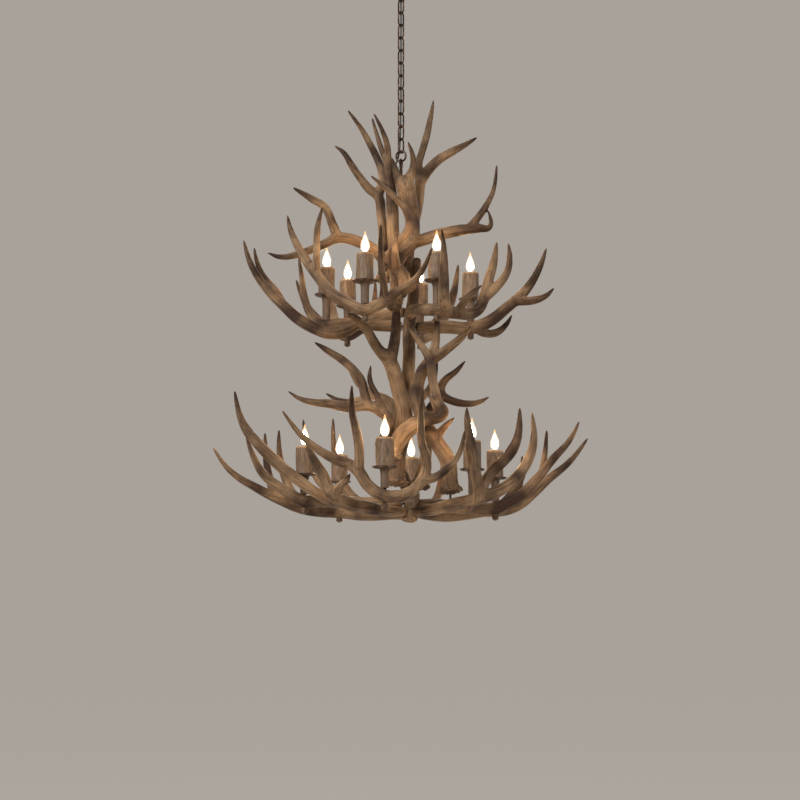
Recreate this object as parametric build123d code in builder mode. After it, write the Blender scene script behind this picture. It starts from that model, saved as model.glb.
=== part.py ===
from build123d import *
from math import cos, pi, radians, sin, tan
import os

# Antler chandelier in two tiers, hung on a chain from a ceiling canopy.
# Origin: centre of the ceiling face of the canopy. Z is up, the viewer stands on the -Y side. Millimetres.

# Ceiling fitting
canopy_radius = 66
canopy_height = 34
canopy_wall = 2
canopy_sides = 24
canopy_shoulder = 0.82
crossbar_inset = 14
crossbar_width = 20
crossbar_thickness = 3
crossbar_corner = 5
crossbar_hole_inset = 8
crossbar_hole_radius = 2.6
nipple_radius = 5
nipple_sides = 8
lock_nut_wall = 4
lock_nut_thickness = 5
loop_collar_wall = 4
loop_collar_height = 14
loop_radius = 13
loop_wire = 6

# Chain: heights and widths of links and rings are measured between wire centres
link_count = 12
link_height = 45.3
link_width = 21
link_wire = 5
wire_sides = 6
bend_steps = 6
ring_height = 33
ring_width = 30
ring_wire = 6
ring_gap = 0.6
eye_radius = 10
eye_wire = 6
eye_shank_radius = 5
eye_shank_length = 78
hang_gap = 0.3

# Supply cord, run down behind the crossings of the links. Its last points are from the middle of the eye.
cord_radius = 2.5
cord_gap = 0.3
cord_bend = 0.45
cord_sides = 6
cord_leave = 64
cord_by_eye = (-12, 15, 0)
cord_hole = (-34, 23.5, -34)
cord_bore_length = 30

# Antlers: a sawn-off beam is cut square, any other starts in a flared burr
beam_girth = 1.15
tine_girth = 1.25
beam_sides = 7
tine_sides = 5
burr_length = 14
burr_rim = 0.45
burr_flare = 1.35
burr_end = 0.8
section_turn = Vector(0.31, 0.83, 0.47)
pin_radius = 3
pin_sides = 4
pin_grip = 0.5
pin_clearance = 0.1

# Candle lights: pan heights are from the middle of the eye
upper_pan_height = -412
lower_pan_height = -952
stem_radius = 12
stem_flare = 2
stem_sides = 7
pan_margin = 1.5
pan_flare = 6
pan_depth = 6
pan_wall = 2
pan_sides = 10
sleeve_radius = 25.5
sleeve_foot_flare = 1.5
sleeve_height = 84
sleeve_wall = 6
sleeve_sides = 8
socket_clearance = 4.5
socket_inset = 1
socket_sides = 6
rod_radius = 5
rod_sides = 6
rod_end = 8
nut_radius = 10
nut_height = 11
nut_sides = 6
bulb_base_radius = 7
bulb_base_height = 24
bulb_neck = 4
bulb_radius = 13
bulb_height = 62
flame_shape = [(0, 0.56), (0.2, 0.98), (0.42, 0.94), (0.72, 0.4), (1, 0.08)]
bulb_sides = 6
slip_fit = 0.2
seat_gap = 0.3
seat_reach = 0.05

# Sizes and places that follow from those above, from the ceiling down
up = Vector(0, 0, 1)
odd_way = Vector(-1, 1, 0).normalized()
even_way = Vector(1, 1, 0).normalized()
ring_way = Vector(3, -1, 0).normalized()
eye_way = Vector(1, 3, 0).normalized()
loop_collar_radius = nipple_radius + loop_collar_wall
cord_exit = loop_collar_radius + 3 * cord_radius
cord_behind = (max(loop_wire, link_wire) / 2 + cord_radius + cord_gap) * 2**0.5
canopy_neck_radius = cord_exit + cord_radius + 2 * canopy_wall
canopy_shoulder_radius = canopy_radius * canopy_shoulder
crossbar_length = 2 * (canopy_radius - crossbar_inset)
crossbar_hole_spacing = crossbar_length - 2 * crossbar_hole_inset
nipple_end = -canopy_height - loop_collar_height * 0.6
wire_step = link_wire + hang_gap
loop_step = (link_wire + loop_wire) / 2 + hang_gap
ring_step = (link_wire + ring_wire) / 2 + ring_gap
eye_step = (ring_wire + eye_wire) / 2 + hang_gap
link_pitch = link_height - wire_step
loop_height = -canopy_height - loop_collar_height + loop_wire / 2 - loop_radius
loop_bottom = loop_height - loop_radius
first_link_top = loop_bottom + loop_step
last_link_bottom = first_link_top - link_height - (link_count - 1) * link_pitch
ring_top = last_link_bottom + ring_step
ring_bottom = ring_top - ring_height
eye_height = ring_bottom + eye_step - eye_radius
sleeve_foot_radius = sleeve_radius + sleeve_foot_flare
sleeve_bore_radius = sleeve_radius - sleeve_wall
socket_radius = sleeve_bore_radius - socket_clearance
socket_height = sleeve_height - socket_inset
dish_radius = (sleeve_foot_radius + slip_fit) / cos(pi / pan_sides)
pan_foot_radius = dish_radius + pan_margin
pan_radius = pan_foot_radius + pan_flare

# Antlers, each a list of strands, each strand a list of (x, y, z, radius) from the base to the tip.
# Heights are from the middle of the eye. The first strand is the beam, the others are tines.
crown_front = [
    [
        (-12, -46, -420, 17), (-14, -42, -345, 16), (-2, -36, -298, 17), (32, -24, -255, 18),
        (38, -10, -210, 17), (32, -2, -155, 19), (20, 0, -105, 24), (14, 0, -74, 26),
        (8, 0, -44, 20),
    ],
    [
        (6, 0, -84, 15), (-8, 0, -50, 12), (-17, -2, -20, 8), (-27, -4, 12, 3),
    ],
    [
        (14, 0, -84, 16), (26, 0, -46, 13), (37, -6, -14, 9), (36, -18, 14, 7),
        (22, -30, 54, 3),
    ],
    [
        (32, -24, -255, 15), (72, -34, -245, 15), (117, -42, -232, 15), (177, -52, -222, 14),
        (233, -60, -218, 11), (262, -63, -216, 7), (260, -66, -170, 3),
    ],
    [
        (200, -56, -220, 11), (233, -62, -180, 9), (256, -68, -145, 8), (274, -74, -106, 6),
        (284, -80, -34, 3),
    ],
]
crown_left = [
    [
        (19, -91, -410, 17), (5, -80, -362, 16), (-20, -78, -338, 15), (-47, -80, -322, 15),
        (-78, -80, -290, 15), (-116, -82, -268, 15), (-186, -86, -254, 14), (-224, -88, -272, 12),
        (-304, -92, -305, 10), (-357, -96, -313, 7), (-389, -98, -302, 3),
    ],
    [
        (-186, -86, -254, 13), (-202, -88, -212, 11), (-226, -92, -162, 10), (-264, -96, -138, 9),
        (-316, -100, -107, 3),
    ],
    [
        (-47, -80, -322, 13), (-8, -86, -270, 11), (22, -88, -222, 10), (16, -88, -175, 9),
        (-14, -84, -135, 8), (-58, -78, -90, 6), (-87, -74, -64, 3),
    ],
    [
        (-10, -79, -348, 11), (-16, -108, -326, 10), (-17, -118, -290, 8), (-12, -120, -250, 3),
    ],
]
crown_tall = [
    [
        (-14, 24, -340, 18), (-20, 26, -270, 17), (-24, 25, -195, 17), (-26, 23, -140, 17),
        (-30, 22, -84, 15), (-37, 24, -30, 12), (-40, 28, 15, 11), (-42, 24, 62, 9),
        (-54, 20, 100, 7), (-81, 14, 156, 3),
    ],
    [
        (-40, 28, 10, 10), (-54, 46, 42, 8), (-66, 56, 80, 7), (-88, 64, 158, 3),
    ],
]
crown_back_left = [
    [
        (-50, 66, -350, 17), (-53, 62, -265, 15), (-55, 58, -200, 13), (-60, 60, -145, 13),
        (-70, 68, -85, 14), (-96, 74, -62, 13), (-124, 78, -26, 11), (-151, 80, 15, 10),
        (-178, 82, 58, 7), (-202, 84, 77, 3),
    ],
    [
        (-70, 68, -85, 13), (-56, 72, -40, 12), (-58, 78, -4, 11), (-72, 84, 36, 10),
        (-94, 86, 82, 9), (-120, 88, 130, 7), (-162, 90, 191, 3),
    ],
]
crown_back_right = [
    [
        (16, 71, -345, 17), (25, 60, -255, 15), (42, 56, -170, 14), (54, 58, -100, 14),
        (58, 60, -45, 14), (54, 60, 14, 11), (64, 60, 50, 10), (78, 62, 100, 10),
        (90, 62, 155, 8), (100, 62, 215, 3),
    ],
    [
        (58, 60, -45, 14), (84, 60, -5, 13), (114, 60, 26, 12), (152, 60, 50, 11),
        (192, 60, 72, 8), (231, 60, 96, 3),
    ],
]
upper_front_left = [
    [
        (-18, -98, -448, 17), (-46, -155, -458, 16), (-75, -188, -480, 16), (-103, -200, -492, 16),
        (-150, -190, -472, 15), (-194, -174, -442, 15), (-240, -150, -384, 14), (-285, -128, -316, 12),
        (-322, -112, -240, 8), (-333, -106, -193, 3),
    ],
    [
        (-246, -147, -375, 11), (-244, -160, -320, 9), (-242, -164, -246, 8), (-229, -166, -186, 3),
    ],
    [
        (-50, -158, -460, 12), (-49, -190, -417, 9), (-57, -225, -364, 8), (-58, -260, -310, 7),
        (-57, -290, -268, 3),
    ],
    [
        (-46, -155, -458, 12), (-5, -190, -433, 10), (32, -225, -416, 9), (61, -262, -388, 7),
        (86, -300, -336, 3),
    ],
]
upper_left = [
    [
        (2, 15, -500, 13), (-40, 6, -500, 16), (-130, -6, -496, 16), (-190, -6, -496, 15),
        (-242, -3, -495, 15), (-270, 3, -464, 12), (-288, 6, -415, 10), (-298, 10, -345, 7),
        (-307, 14, -287, 3),
    ],
    [
        (-130, -6, -496, 14), (-165, -28, -522, 15), (-212, -40, -530, 15), (-258, -42, -514, 15),
        (-304, -40, -487, 14), (-344, -36, -450, 13), (-395, -30, -398, 11), (-447, -24, -318, 8),
        (-469, -20, -248, 3),
    ],
    [
        (-344, -36, -450, 11), (-372, -8, -400, 10), (-412, 8, -348, 8), (-434, 18, -298, 6),
        (-442, 24, -260, 3),
    ],
]
upper_front_right = [
    [
        (27, -5, -470, 13), (28, -44, -470, 16), (38, -104, -475, 16), (70, -165, -484, 16),
        (102, -208, -494, 16), (150, -200, -500, 16), (212, -166, -490, 16), (238, -148, -450, 15),
        (254, -138, -390, 13), (268, -132, -345, 11), (279, -128, -278, 3),
    ],
    [
        (128, -206, -498, 14), (121, -260, -478, 14), (120, -282, -424, 12), (120, -305, -375, 10),
        (118, -328, -328, 6), (113, -345, -295, 3),
    ],
    [
        (238, -148, -450, 12), (284, -142, -404, 11), (309, -136, -364, 9), (316, -132, -318, 7),
        (313, -130, -284, 3),
    ],
    [
        (160, -196, -500, 11), (184, -220, -466, 9), (204, -226, -446, 7), (227, -230, -428, 3),
    ],
]
upper_right = [
    [
        (46, 18, -500, 13), (82, 28, -500, 17), (140, 46, -496, 18), (210, 60, -496, 18),
        (260, 56, -480, 17), (320, 42, -436, 15), (372, 32, -390, 13), (416, 24, -320, 9),
        (437, 20, -262, 3),
    ],
    [
        (340, 38, -418, 12), (400, 12, -420, 10), (434, 4, -408, 7), (455, 0, -388, 3),
    ],
    [
        (222, 60, -494, 12), (256, 86, -507, 11), (290, 90, -504, 10), (320, 92, -479, 7),
        (336, 94, -452, 3),
    ],
]
upper_back_left = [
    [
        (13, 36, -452, 13), (-36, 66, -454, 17), (-118, 122, -480, 18), (-165, 165, -498, 18),
        (-196, 220, -471, 17), (-217, 295, -406, 15), (-231, 365, -312, 11), (-237, 415, -209, 3),
    ],
    [
        (-190, 210, -478, 14), (-251, 255, -441, 12), (-303, 295, -373, 9), (-335, 325, -293, 3),
    ],
    [
        (-118, 122, -480, 13), (-88, 180, -461, 11), (-83, 240, -390, 9), (-81, 280, -309, 3),
    ],
]
upper_back_right = [
    [
        (23, 39, -500, 13), (28, 80, -498, 17), (42, 150, -492, 18), (60, 220, -498, 18),
        (96, 282, -472, 17), (141, 345, -404, 15), (173, 400, -312, 11), (188, 440, -215, 3),
    ],
    [
        (88, 272, -480, 14), (58, 340, -436, 12), (42, 395, -361, 9), (35, 435, -281, 3),
    ],
    [
        (44, 162, -492, 13), (100, 184, -462, 11), (130, 204, -400, 9), (138, 210, -330, 3),
    ],
]
middle_fork = [
    [
        (-14, -62, -978, 20), (-6, -57, -890, 19), (4, -52, -835, 20), (10, -46, -760, 21),
        (-3, -42, -714, 20), (-18, -46, -655, 20), (-36, -52, -612, 19), (-66, -74, -584, 14),
        (-106, -110, -524, 12), (-138, -146, -500, 9), (-152, -162, -496, 4),
    ],
    [
        (-32, -52, -620, 15), (-18, -58, -552, 13), (-14, -64, -480, 11), (-12, -66, -440, 4),
    ],
]
middle_front = [
    [
        (-30, -146, -905, 19), (-4, -148, -856, 22), (26, -152, -823, 22), (66, -154, -800, 18),
        (120, -157, -784, 14), (106, -154, -752, 12), (95, -142, -708, 12), (88, -132, -665, 12),
        (83, -128, -627, 12), (67, -114, -592, 10), (23, -96, -526, 3),
    ],
    [
        (108, -157, -786, 10), (92, -164, -752, 7), (76, -168, -728, 3),
    ],
]
middle_right = [
    [
        (143, -103, -1004, 20), (134, -112, -915, 21), (108, -112, -869, 20), (79, -108, -825, 19),
        (56, -98, -773, 18), (48, -88, -694, 17), (76, -90, -632, 16), (122, -98, -597, 13),
        (176, -124, -556, 10), (200, -142, -530, 4),
    ],
    [
        (76, -90, -632, 13), (98, -92, -580, 11), (104, -96, -520, 8), (106, -100, -460, 3),
    ],
    [
        (98, -111, -852, 11), (128, -114, -814, 8), (151, -116, -793, 3),
    ],
]
centre = [
    [
        (25, 6, -1078, 14), (25, 6, -1008, 17), (-14, 8, -895, 18), (-6, 3, -800, 18),
        (14, 0, -710, 17), (24, 8, -600, 17), (24, 16, -500, 17), (36, 24, -420, 16),
        (42, 28, -350, 15), (48, 30, -290, 12),
    ],
]
middle_left = [
    [
        (-48, -98, -872, 17), (-38, -104, -826, 15), (-38, -102, -792, 15), (-58, -98, -770, 15),
        (-91, -94, -754, 14), (-156, -92, -756, 14), (-206, -90, -747, 12), (-260, -88, -741, 9),
        (-298, -86, -729, 6), (-325, -84, -711, 3),
    ],
    [
        (-95, -94, -754, 12), (-106, -92, -717, 11), (-114, -90, -682, 11), (-134, -88, -653, 11),
        (-168, -86, -620, 10), (-215, -84, -589, 8), (-250, -82, -566, 3),
    ],
    [
        (-50, -98, -768, 10), (-68, -104, -728, 8), (-90, -106, -680, 7), (-88, -106, -640, 3),
    ],
]
middle_back_right = [
    [
        (54, -34, -985, 17), (72, -44, -895, 15), (74, -58, -810, 15), (88, -52, -756, 14),
        (116, -46, -715, 13), (118, -44, -690, 11), (132, -44, -668, 10), (160, -46, -646, 8),
        (187, -48, -616, 3),
    ],
    [
        (116, -46, -715, 11), (145, -48, -731, 10), (190, -50, -741, 9), (226, -52, -737, 7),
        (255, -54, -723, 3),
    ],
]
middle_back = [
    [
        (-42, 54, -900, 17), (-34, 54, -830, 17), (-20, 60, -770, 17), (-36, 84, -722, 16),
        (-84, 122, -690, 13), (-130, 158, -650, 10), (-166, 186, -586, 3),
    ],
    [
        (-20, 60, -770, 14), (20, 90, -730, 13), (62, 124, -700, 11), (96, 160, -650, 9),
        (112, 182, -580, 3),
    ],
    [
        (-84, 122, -690, 11), (-130, 150, -704, 9), (-186, 186, -700, 7), (-230, 210, -676, 3),
    ],
]
lower_front = [
    [
        (27, -17, -1030, 13), (32, -60, -1027, 16), (34, -160, -1012, 16), (22, -222, -1020, 16),
        (-4, -268, -1028, 16), (-45, -280, -1028, 16), (-90, -278, -1000, 15), (-116, -274, -962, 15),
        (-140, -274, -942, 14), (-179, -285, -928, 13), (-218, -305, -909, 11), (-273, -335, -866, 8),
        (-321, -365, -805, 3),
    ],
    [
        (-116, -274, -962, 12), (-116, -305, -893, 11), (-124, -335, -847, 10), (-133, -365, -807, 8),
        (-133, -405, -742, 3),
    ],
    [
        (-4, -268, -1028, 13), (36, -272, -1008, 13), (62, -275, -975, 13), (70, -290, -931, 11),
        (57, -312, -884, 10), (54, -340, -838, 9), (55, -372, -788, 7), (59, -402, -748, 3),
    ],
    [
        (54, -274, -986, 11), (92, -275, -977, 10), (127, -285, -953, 9), (158, -300, -916, 7),
        (174, -320, -854, 3),
    ],
]
lower_left = [
    [
        (2, 4, -1030, 13), (-40, -8, -1030, 16), (-125, -30, -1030, 16), (-190, -40, -1026, 16),
        (-245, -46, -1026, 16), (-281, -47, -1026, 16), (-320, -46, -1006, 15), (-360, -44, -980, 13),
        (-398, -42, -950, 12), (-426, -40, -905, 9), (-452, -36, -838, 3),
    ],
    [
        (-190, -40, -1026, 14), (-228, -90, -1014, 13), (-270, -108, -988, 13), (-335, -98, -939, 14),
        (-378, -88, -899, 14), (-414, -79, -862, 13), (-446, -72, -824, 12), (-469, -66, -778, 8),
        (-485, -62, -708, 3),
    ],
]
lower_back_left = [
    [
        (8, 23, -1054, 11), (-34, 64, -1056, 16), (-110, 140, -1052, 18), (-189, 213, -1040, 18),
        (-255, 196, -1038, 17), (-308, 168, -1030, 16), (-352, 142, -1014, 15), (-432, 116, -976, 12),
        (-516, 100, -922, 8), (-563, 92, -858, 3),
    ],
    [
        (-300, 172, -1032, 12), (-346, 205, -959, 11), (-374, 240, -876, 9), (-382, 275, -783, 3),
    ],
    [
        (-380, 133, -1002, 11), (-402, 148, -930, 10), (-412, 155, -866, 8), (-415, 158, -806, 3),
    ],
]
lower_back = [
    [
        (23, 29, -1030, 13), (26, 80, -1030, 17), (30, 180, -1036, 18), (32, 283, -1038, 18),
        (-40, 326, -1036, 18), (-120, 345, -1011, 16), (-182, 370, -947, 14), (-212, 400, -842, 10),
        (-219, 420, -728, 3),
    ],
    [
        (-110, 341, -1016, 13), (-212, 385, -975, 12), (-284, 430, -893, 9), (-318, 470, -726, 3),
    ],
    [
        (32, 270, -1038, 13), (100, 345, -1009, 12), (129, 400, -926, 9), (139, 445, -820, 3),
    ],
]
lower_front_left = [
    [
        (9, -11, -1054, 11), (-36, -62, -1056, 15), (-104, -150, -1050, 17), (-150, -200, -1043, 17),
        (-192, -234, -1020, 16), (-218, -240, -964, 13), (-244, -242, -920, 10), (-264, -242, -878, 3),
    ],
    [
        (-190, -232, -1022, 12), (-168, -246, -996, 10), (-150, -250, -980, 7), (-142, -250, -966, 3),
    ],
]
lower_front_right = [
    [
        (42, -11, -1054, 11), (80, -66, -1054, 15), (150, -155, -1042, 16), (200, -203, -1034, 16),
        (250, -192, -1018, 16), (292, -174, -996, 15), (332, -158, -960, 14), (363, -150, -913, 13),
        (378, -148, -860, 10), (375, -146, -783, 3),
    ],
    [
        (225, -198, -1026, 13), (238, -160, -980, 13), (262, -150, -946, 13), (290, -146, -920, 13),
        (316, -142, -888, 13), (334, -140, -846, 10), (340, -138, -768, 3),
    ],
    [
        (214, -202, -1030, 13), (214, -258, -1000, 13), (204, -266, -955, 13), (198, -266, -912, 13),
        (190, -264, -860, 11), (184, -262, -815, 8), (183, -260, -782, 3),
    ],
]
lower_right = [
    [
        (48, 10, -1030, 13), (90, 24, -1032, 17), (210, 66, -1038, 17), (281, 80, -1038, 17),
        (322, 72, -1020, 16), (362, 62, -996, 15), (402, 55, -955, 13), (452, 50, -894, 11),
        (502, 48, -838, 8), (530, 46, -784, 3),
    ],
    [
        (300, 76, -1030, 11), (345, 100, -975, 10), (372, 108, -920, 7), (384, 112, -860, 3),
    ],
]
lower_back_right = [
    [
        (40, 25, -1054, 11), (68, 66, -1056, 15), (138, 132, -1058, 16), (202, 142, -1052, 15),
        (252, 148, -1044, 15), (302, 150, -1042, 15), (354, 146, -1026, 14), (400, 138, -990, 13),
        (442, 132, -950, 12), (508, 127, -896, 9), (564, 122, -826, 3),
    ],
    [
        (400, 138, -990, 10), (432, 168, -910, 9), (447, 180, -795, 3),
    ],
    [
        (340, 147, -1030, 10), (365, 205, -964, 8), (377, 260, -866, 3),
    ],
]

drawn_antlers = {
    "crown_front": crown_front,
    "crown_left": crown_left,
    "crown_tall": crown_tall,
    "crown_back_left": crown_back_left,
    "crown_back_right": crown_back_right,
    "upper_front_left": upper_front_left,
    "upper_left": upper_left,
    "upper_front_right": upper_front_right,
    "upper_right": upper_right,
    "upper_back_left": upper_back_left,
    "upper_back_right": upper_back_right,
    "middle_fork": middle_fork,
    "middle_front": middle_front,
    "middle_right": middle_right,
    "centre": centre,
    "middle_left": middle_left,
    "middle_back_right": middle_back_right,
    "middle_back": middle_back,
    "lower_front": lower_front,
    "lower_left": lower_left,
    "lower_back_left": lower_back_left,
    "lower_back": lower_back,
    "lower_front_left": lower_front_left,
    "lower_front_right": lower_front_right,
    "lower_right": lower_right,
    "lower_back_right": lower_back_right,
}
antlers = {
    name: [
        [(x, y, z, radius * (tine_girth if number else beam_girth)) for x, y, z, radius in strand]
        for number, strand in enumerate(strands)
    ]
    for name, strands in drawn_antlers.items()
}

# Beams that are sawn off and butt against the centre antler, with the step of that antler that they meet
butted = {
    "upper_left": 6.0,
    "upper_front_right": 6.35,
    "upper_right": 6.0,
    "upper_back_left": 6.6,
    "upper_back_right": 6.0,
    "lower_front": 0.69,
    "lower_left": 0.69,
    "lower_right": 0.69,
    "lower_back": 0.69,
    "lower_back_left": 0.34,
    "lower_front_left": 0.34,
    "lower_front_right": 0.34,
    "lower_back_right": 0.34,
}
butt_depth = 0.7

# Steel pins: (antler, strand, step along it) twice. A step of 2.5 is halfway from point 2 to point 3.
pins = [
    (("crown_front", 0, 0.9), ("crown_left", 0, 1.2)),
    (("crown_front", 1, 2.2), ("crown_tall", 0, 4.6)),
    (("crown_tall", 0, 0.12), ("crown_back_left", 0, 0.2)),
    (("crown_tall", 0, 0.35), ("crown_back_right", 0, 0.3)),
    (("crown_back_right", 0, 0.1), ("centre", 0, 8.1)),
    (("middle_fork", 1, 2.4), ("upper_front_left", 0, 0.1)),
    (("upper_front_left", 0, 7.2), ("crown_left", 0, 7.9)),
    (("middle_fork", 0, 3.0), ("centre", 0, 3.2)),
    (("middle_front", 0, 1.0), ("middle_left", 0, 0.15)),
    (("middle_left", 0, 0.6), ("middle_fork", 0, 1.6)),
    (("middle_right", 0, 6.2), ("middle_front", 0, 8.1)),
    (("middle_right", 0, 3.6), ("middle_back_right", 0, 2.2)),
    (("middle_right", 0, 0.15), ("lower_front_right", 0, 1.85)),
    (("middle_back", 0, 0.2), ("centre", 0, 2.1)),
]
pins += [((name, 0, butt_depth), ("centre", 0, step)) for name, step in butted.items()]

# Candle lights: the antler each one stands on, the step along its beam and the height of its pan
lights = [
    ("upper_front_left", 3.0, upper_pan_height),
    ("upper_left", 3.62, upper_pan_height),
    ("upper_front_right", 4.0, upper_pan_height),
    ("upper_right", 3.0, upper_pan_height),
    ("upper_back_left", 3.0, upper_pan_height),
    ("upper_back_right", 3.0, upper_pan_height),
    ("lower_front", 5.0, lower_pan_height),
    ("lower_left", 5.0, lower_pan_height),
    ("lower_front_right", 3.0, lower_pan_height),
    ("lower_right", 3.0, lower_pan_height),
    ("lower_back_left", 3.0, lower_pan_height),
    ("lower_back", 3.0, lower_pan_height),
]


def spot(name, strand, step):
    """Point on the middle of a strand, the radius there and the way the strand runs."""
    points = antlers[name][strand]
    index = min(int(step), len(points) - 2)
    share = step - index
    x0, y0, z0, r0 = points[index]
    x1, y1, z1, r1 = points[index + 1]
    start = Vector(x0, y0, z0 + eye_height)
    end = Vector(x1, y1, z1 + eye_height)
    return start + (end - start) * share, r0 + (r1 - r0) * share, (end - start).normalized()


def with_burr(points):
    """Points of a beam with the flared burr at its foot put in: its end, its rim and its neck."""
    (x0, y0, z0, r0), (x1, y1, z1, _) = points[:2]
    foot = Vector(x0, y0, z0)
    way = (Vector(x1, y1, z1) - foot).normalized()
    rim = foot + way * (burr_length * burr_rim)
    neck = foot + way * burr_length
    return [(*foot, r0 * burr_end), (*rim, r0 * burr_flare), (*neck, r0), *points[1:]]


def section_planes(points):
    """One plane for each point of a strand, square to it and turned as little as possible."""
    middles = [Vector(x, y, z + eye_height) for x, y, z, _ in points]
    ways = [(b - a).normalized() for a, b in zip(middles, middles[1:])]
    ways = [ways[0]] + [(a + b).normalized() for a, b in zip(ways, ways[1:])] + [ways[-1]]
    side = ways[0].cross(section_turn).normalized()
    planes = []
    for middle, way in zip(middles, ways):
        side = (side - way * side.dot(way)).normalized()
        planes.append(Plane(origin=middle, x_dir=side, z_dir=way))
    return planes


def corners(plane, radius, sides):
    """Corners of a many-sided section on a plane."""
    turns = [2 * pi * corner / sides for corner in range(sides)]
    return [plane.from_local_coords((radius * cos(turn), radius * sin(turn), 0)) for turn in turns]


def skin(sections, mode=Mode.ADD):
    """Close flat facets over a row of sections and add the solid to the piece being built, or cut it out."""
    facets = [Face(Wire.make_polygon(sections[0][::-1])), Face(Wire.make_polygon(sections[-1]))]
    for low, high in zip(sections, sections[1:]):
        for a, b, c, d in zip(low, low[1:] + low[:1], high[1:] + high[:1], high):
            facets += [Face(Wire.make_polygon([a, b, c])), Face(Wire.make_polygon([a, c, d]))]
    add(Solid(Shell(facets)), mode=mode)


def grow(points, sides):
    """Skin one beam or tine over the sections at its points."""
    planes = section_planes(points)
    skin([corners(plane, radius, sides) for plane, (_, _, _, radius) in zip(planes, points)])


def bar(start, way, length, radius, sides, mode=Mode.ADD):
    """Extrude a many-sided bar from a point, or cut one out of the piece being built."""
    with BuildSketch(Plane(origin=start, z_dir=way)) as section:
        RegularPolygon(radius, sides)
    extrude(section.sketch, amount=length, mode=mode)


def column(foot, outline, sides, mode=Mode.ADD):
    """Skin an upright many-sided form through (height above the foot, radius) pairs, or cut it out."""
    skin([corners(Plane(origin=foot + up * height), radius, sides) for height, radius in outline], mode)


def oval_wire(middle, across, width, height, wire):
    """Sweep a many-sided wire round an upright oval; width and height are between wire centres."""
    half = width / 2
    rise = height / 2 - half
    turns = [pi * step / bend_steps for step in range(bend_steps + 1)]
    top = [(half * cos(turn), rise + half * sin(turn)) for turn in turns]
    rim = [middle + across * u + up * v for u, v in top]
    rim += [middle - across * u - up * v for u, v in top]
    rim = [point for point, last in zip(rim, rim[-1:] + rim) if (point - last).length > slip_fit]
    start = (rim[0] + rim[-1]) / 2
    way = (rim[0] - start).normalized()
    with BuildLine() as path:
        Polyline(start, *rim, close=True)
    with BuildSketch(Plane(origin=start, x_dir=way.cross(across.cross(up)), z_dir=way)) as section:
        RegularPolygon(wire / 2, wire_sides)
    sweep(section.sketch, path=path.line, transition=Transition.RIGHT)


def pin_line(pin):
    """Where a pin starts, the way it runs and its length, short of the middle of the second antler."""
    first, first_radius, _ = spot(*pin[0])
    second, second_radius, _ = spot(*pin[1])
    way = (second - first).normalized()
    start = first - way * (first_radius * pin_grip)
    end = second - way * (second_radius * pin_grip)
    return start, way, (end - start).length


def light_seat(name, step):
    """Middle of the beam under a candle light, and how far above and below it the stem and the nut start."""
    middle, radius, _ = spot(name, 0, step)
    ways = [spot(name, 0, step + reach)[2] for reach in (-seat_reach, seat_reach)]
    slope = max(abs(way.Z) / (way.X**2 + way.Y**2) ** 0.5 for way in ways)
    half_depth = radius * (1 + slope**2) ** 0.5 + seat_gap
    return middle, half_depth + stem_radius * slope, half_depth + nut_radius * slope


def save(builder, name):
    """Label a finished piece and write it under its name."""
    builder.part.label = name
    export_step(builder.part, f"parts/{name}.step")


os.makedirs("parts", exist_ok=True)

# Ceiling crossbar, screwed to the outlet box
with BuildPart() as crossbar:
    with BuildSketch(Plane.XY.offset(-crossbar_thickness)):
        Rectangle(crossbar_length, crossbar_width)
        with GridLocations(crossbar_hole_spacing, 0, 2, 1):
            Circle(crossbar_hole_radius, mode=Mode.SUBTRACT)
        RegularPolygon(nipple_radius + slip_fit, nipple_sides, mode=Mode.SUBTRACT)
    extrude(amount=crossbar_thickness)
    chamfer(crossbar.edges().filter_by(Axis.Z).group_by(Axis.X)[0], crossbar_corner)
    chamfer(crossbar.edges().filter_by(Axis.Z).group_by(Axis.X)[-1], crossbar_corner)
save(crossbar, "ceiling_crossbar")

# Threaded nipple from the crossbar down into the loop, with its lock nut
with BuildPart() as nipple:
    bar(up * nipple_end, up, -nipple_end, nipple_radius, nipple_sides)
save(nipple, "canopy_nipple")

with BuildPart() as lock_nut:
    lock_nut_foot = up * (-crossbar_thickness - lock_nut_thickness)
    bar(lock_nut_foot, up, lock_nut_thickness, nipple_radius + lock_nut_wall, 6)
    bar(lock_nut_foot, up, lock_nut_thickness, nipple_radius + slip_fit, nipple_sides, Mode.SUBTRACT)
save(lock_nut, "nipple_nut")

# Canopy, a spun dish with its rim on the ceiling, bored for the nipple and the cord
with BuildPart() as canopy:
    dome = [
        (0, canopy_neck_radius),
        (canopy_height / 2, canopy_shoulder_radius),
        (canopy_height, canopy_radius),
    ]
    hollow = [(height + canopy_wall, radius - canopy_wall) for height, radius in dome]
    column(up * -canopy_height, dome, canopy_sides)
    column(up * -canopy_height, hollow, canopy_sides, Mode.SUBTRACT)
    bar(up * -canopy_height, up, canopy_wall, nipple_radius + slip_fit, nipple_sides, Mode.SUBTRACT)
    cord_way_out = Vector(0, cord_exit, -canopy_height)
    bar(cord_way_out, up, canopy_wall, cord_radius + slip_fit, cord_sides, Mode.SUBTRACT)
save(canopy, "canopy")

# Loop under the canopy: a collar screwed on the nipple, with a ring for the first link
with BuildPart() as loop:
    collar_foot = up * (-canopy_height - loop_collar_height)
    bar(collar_foot, up, loop_collar_height, loop_collar_radius, nipple_sides)
    oval_wire(up * loop_height, even_way, 2 * loop_radius, 2 * loop_radius, loop_wire)
    bar(up * (nipple_end - slip_fit), up, -nipple_end, nipple_radius + slip_fit, nipple_sides, Mode.SUBTRACT)
save(loop, "canopy_loop")

# Chain, each link turned a quarter from the one above it
for number in range(1, link_count + 1):
    link_middle = up * (first_link_top - link_height / 2 - (number - 1) * link_pitch)
    with BuildPart() as link:
        oval_wire(link_middle, odd_way if number % 2 else even_way, link_width, link_height, link_wire)
    save(link, f"chain_link_{number}")

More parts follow.
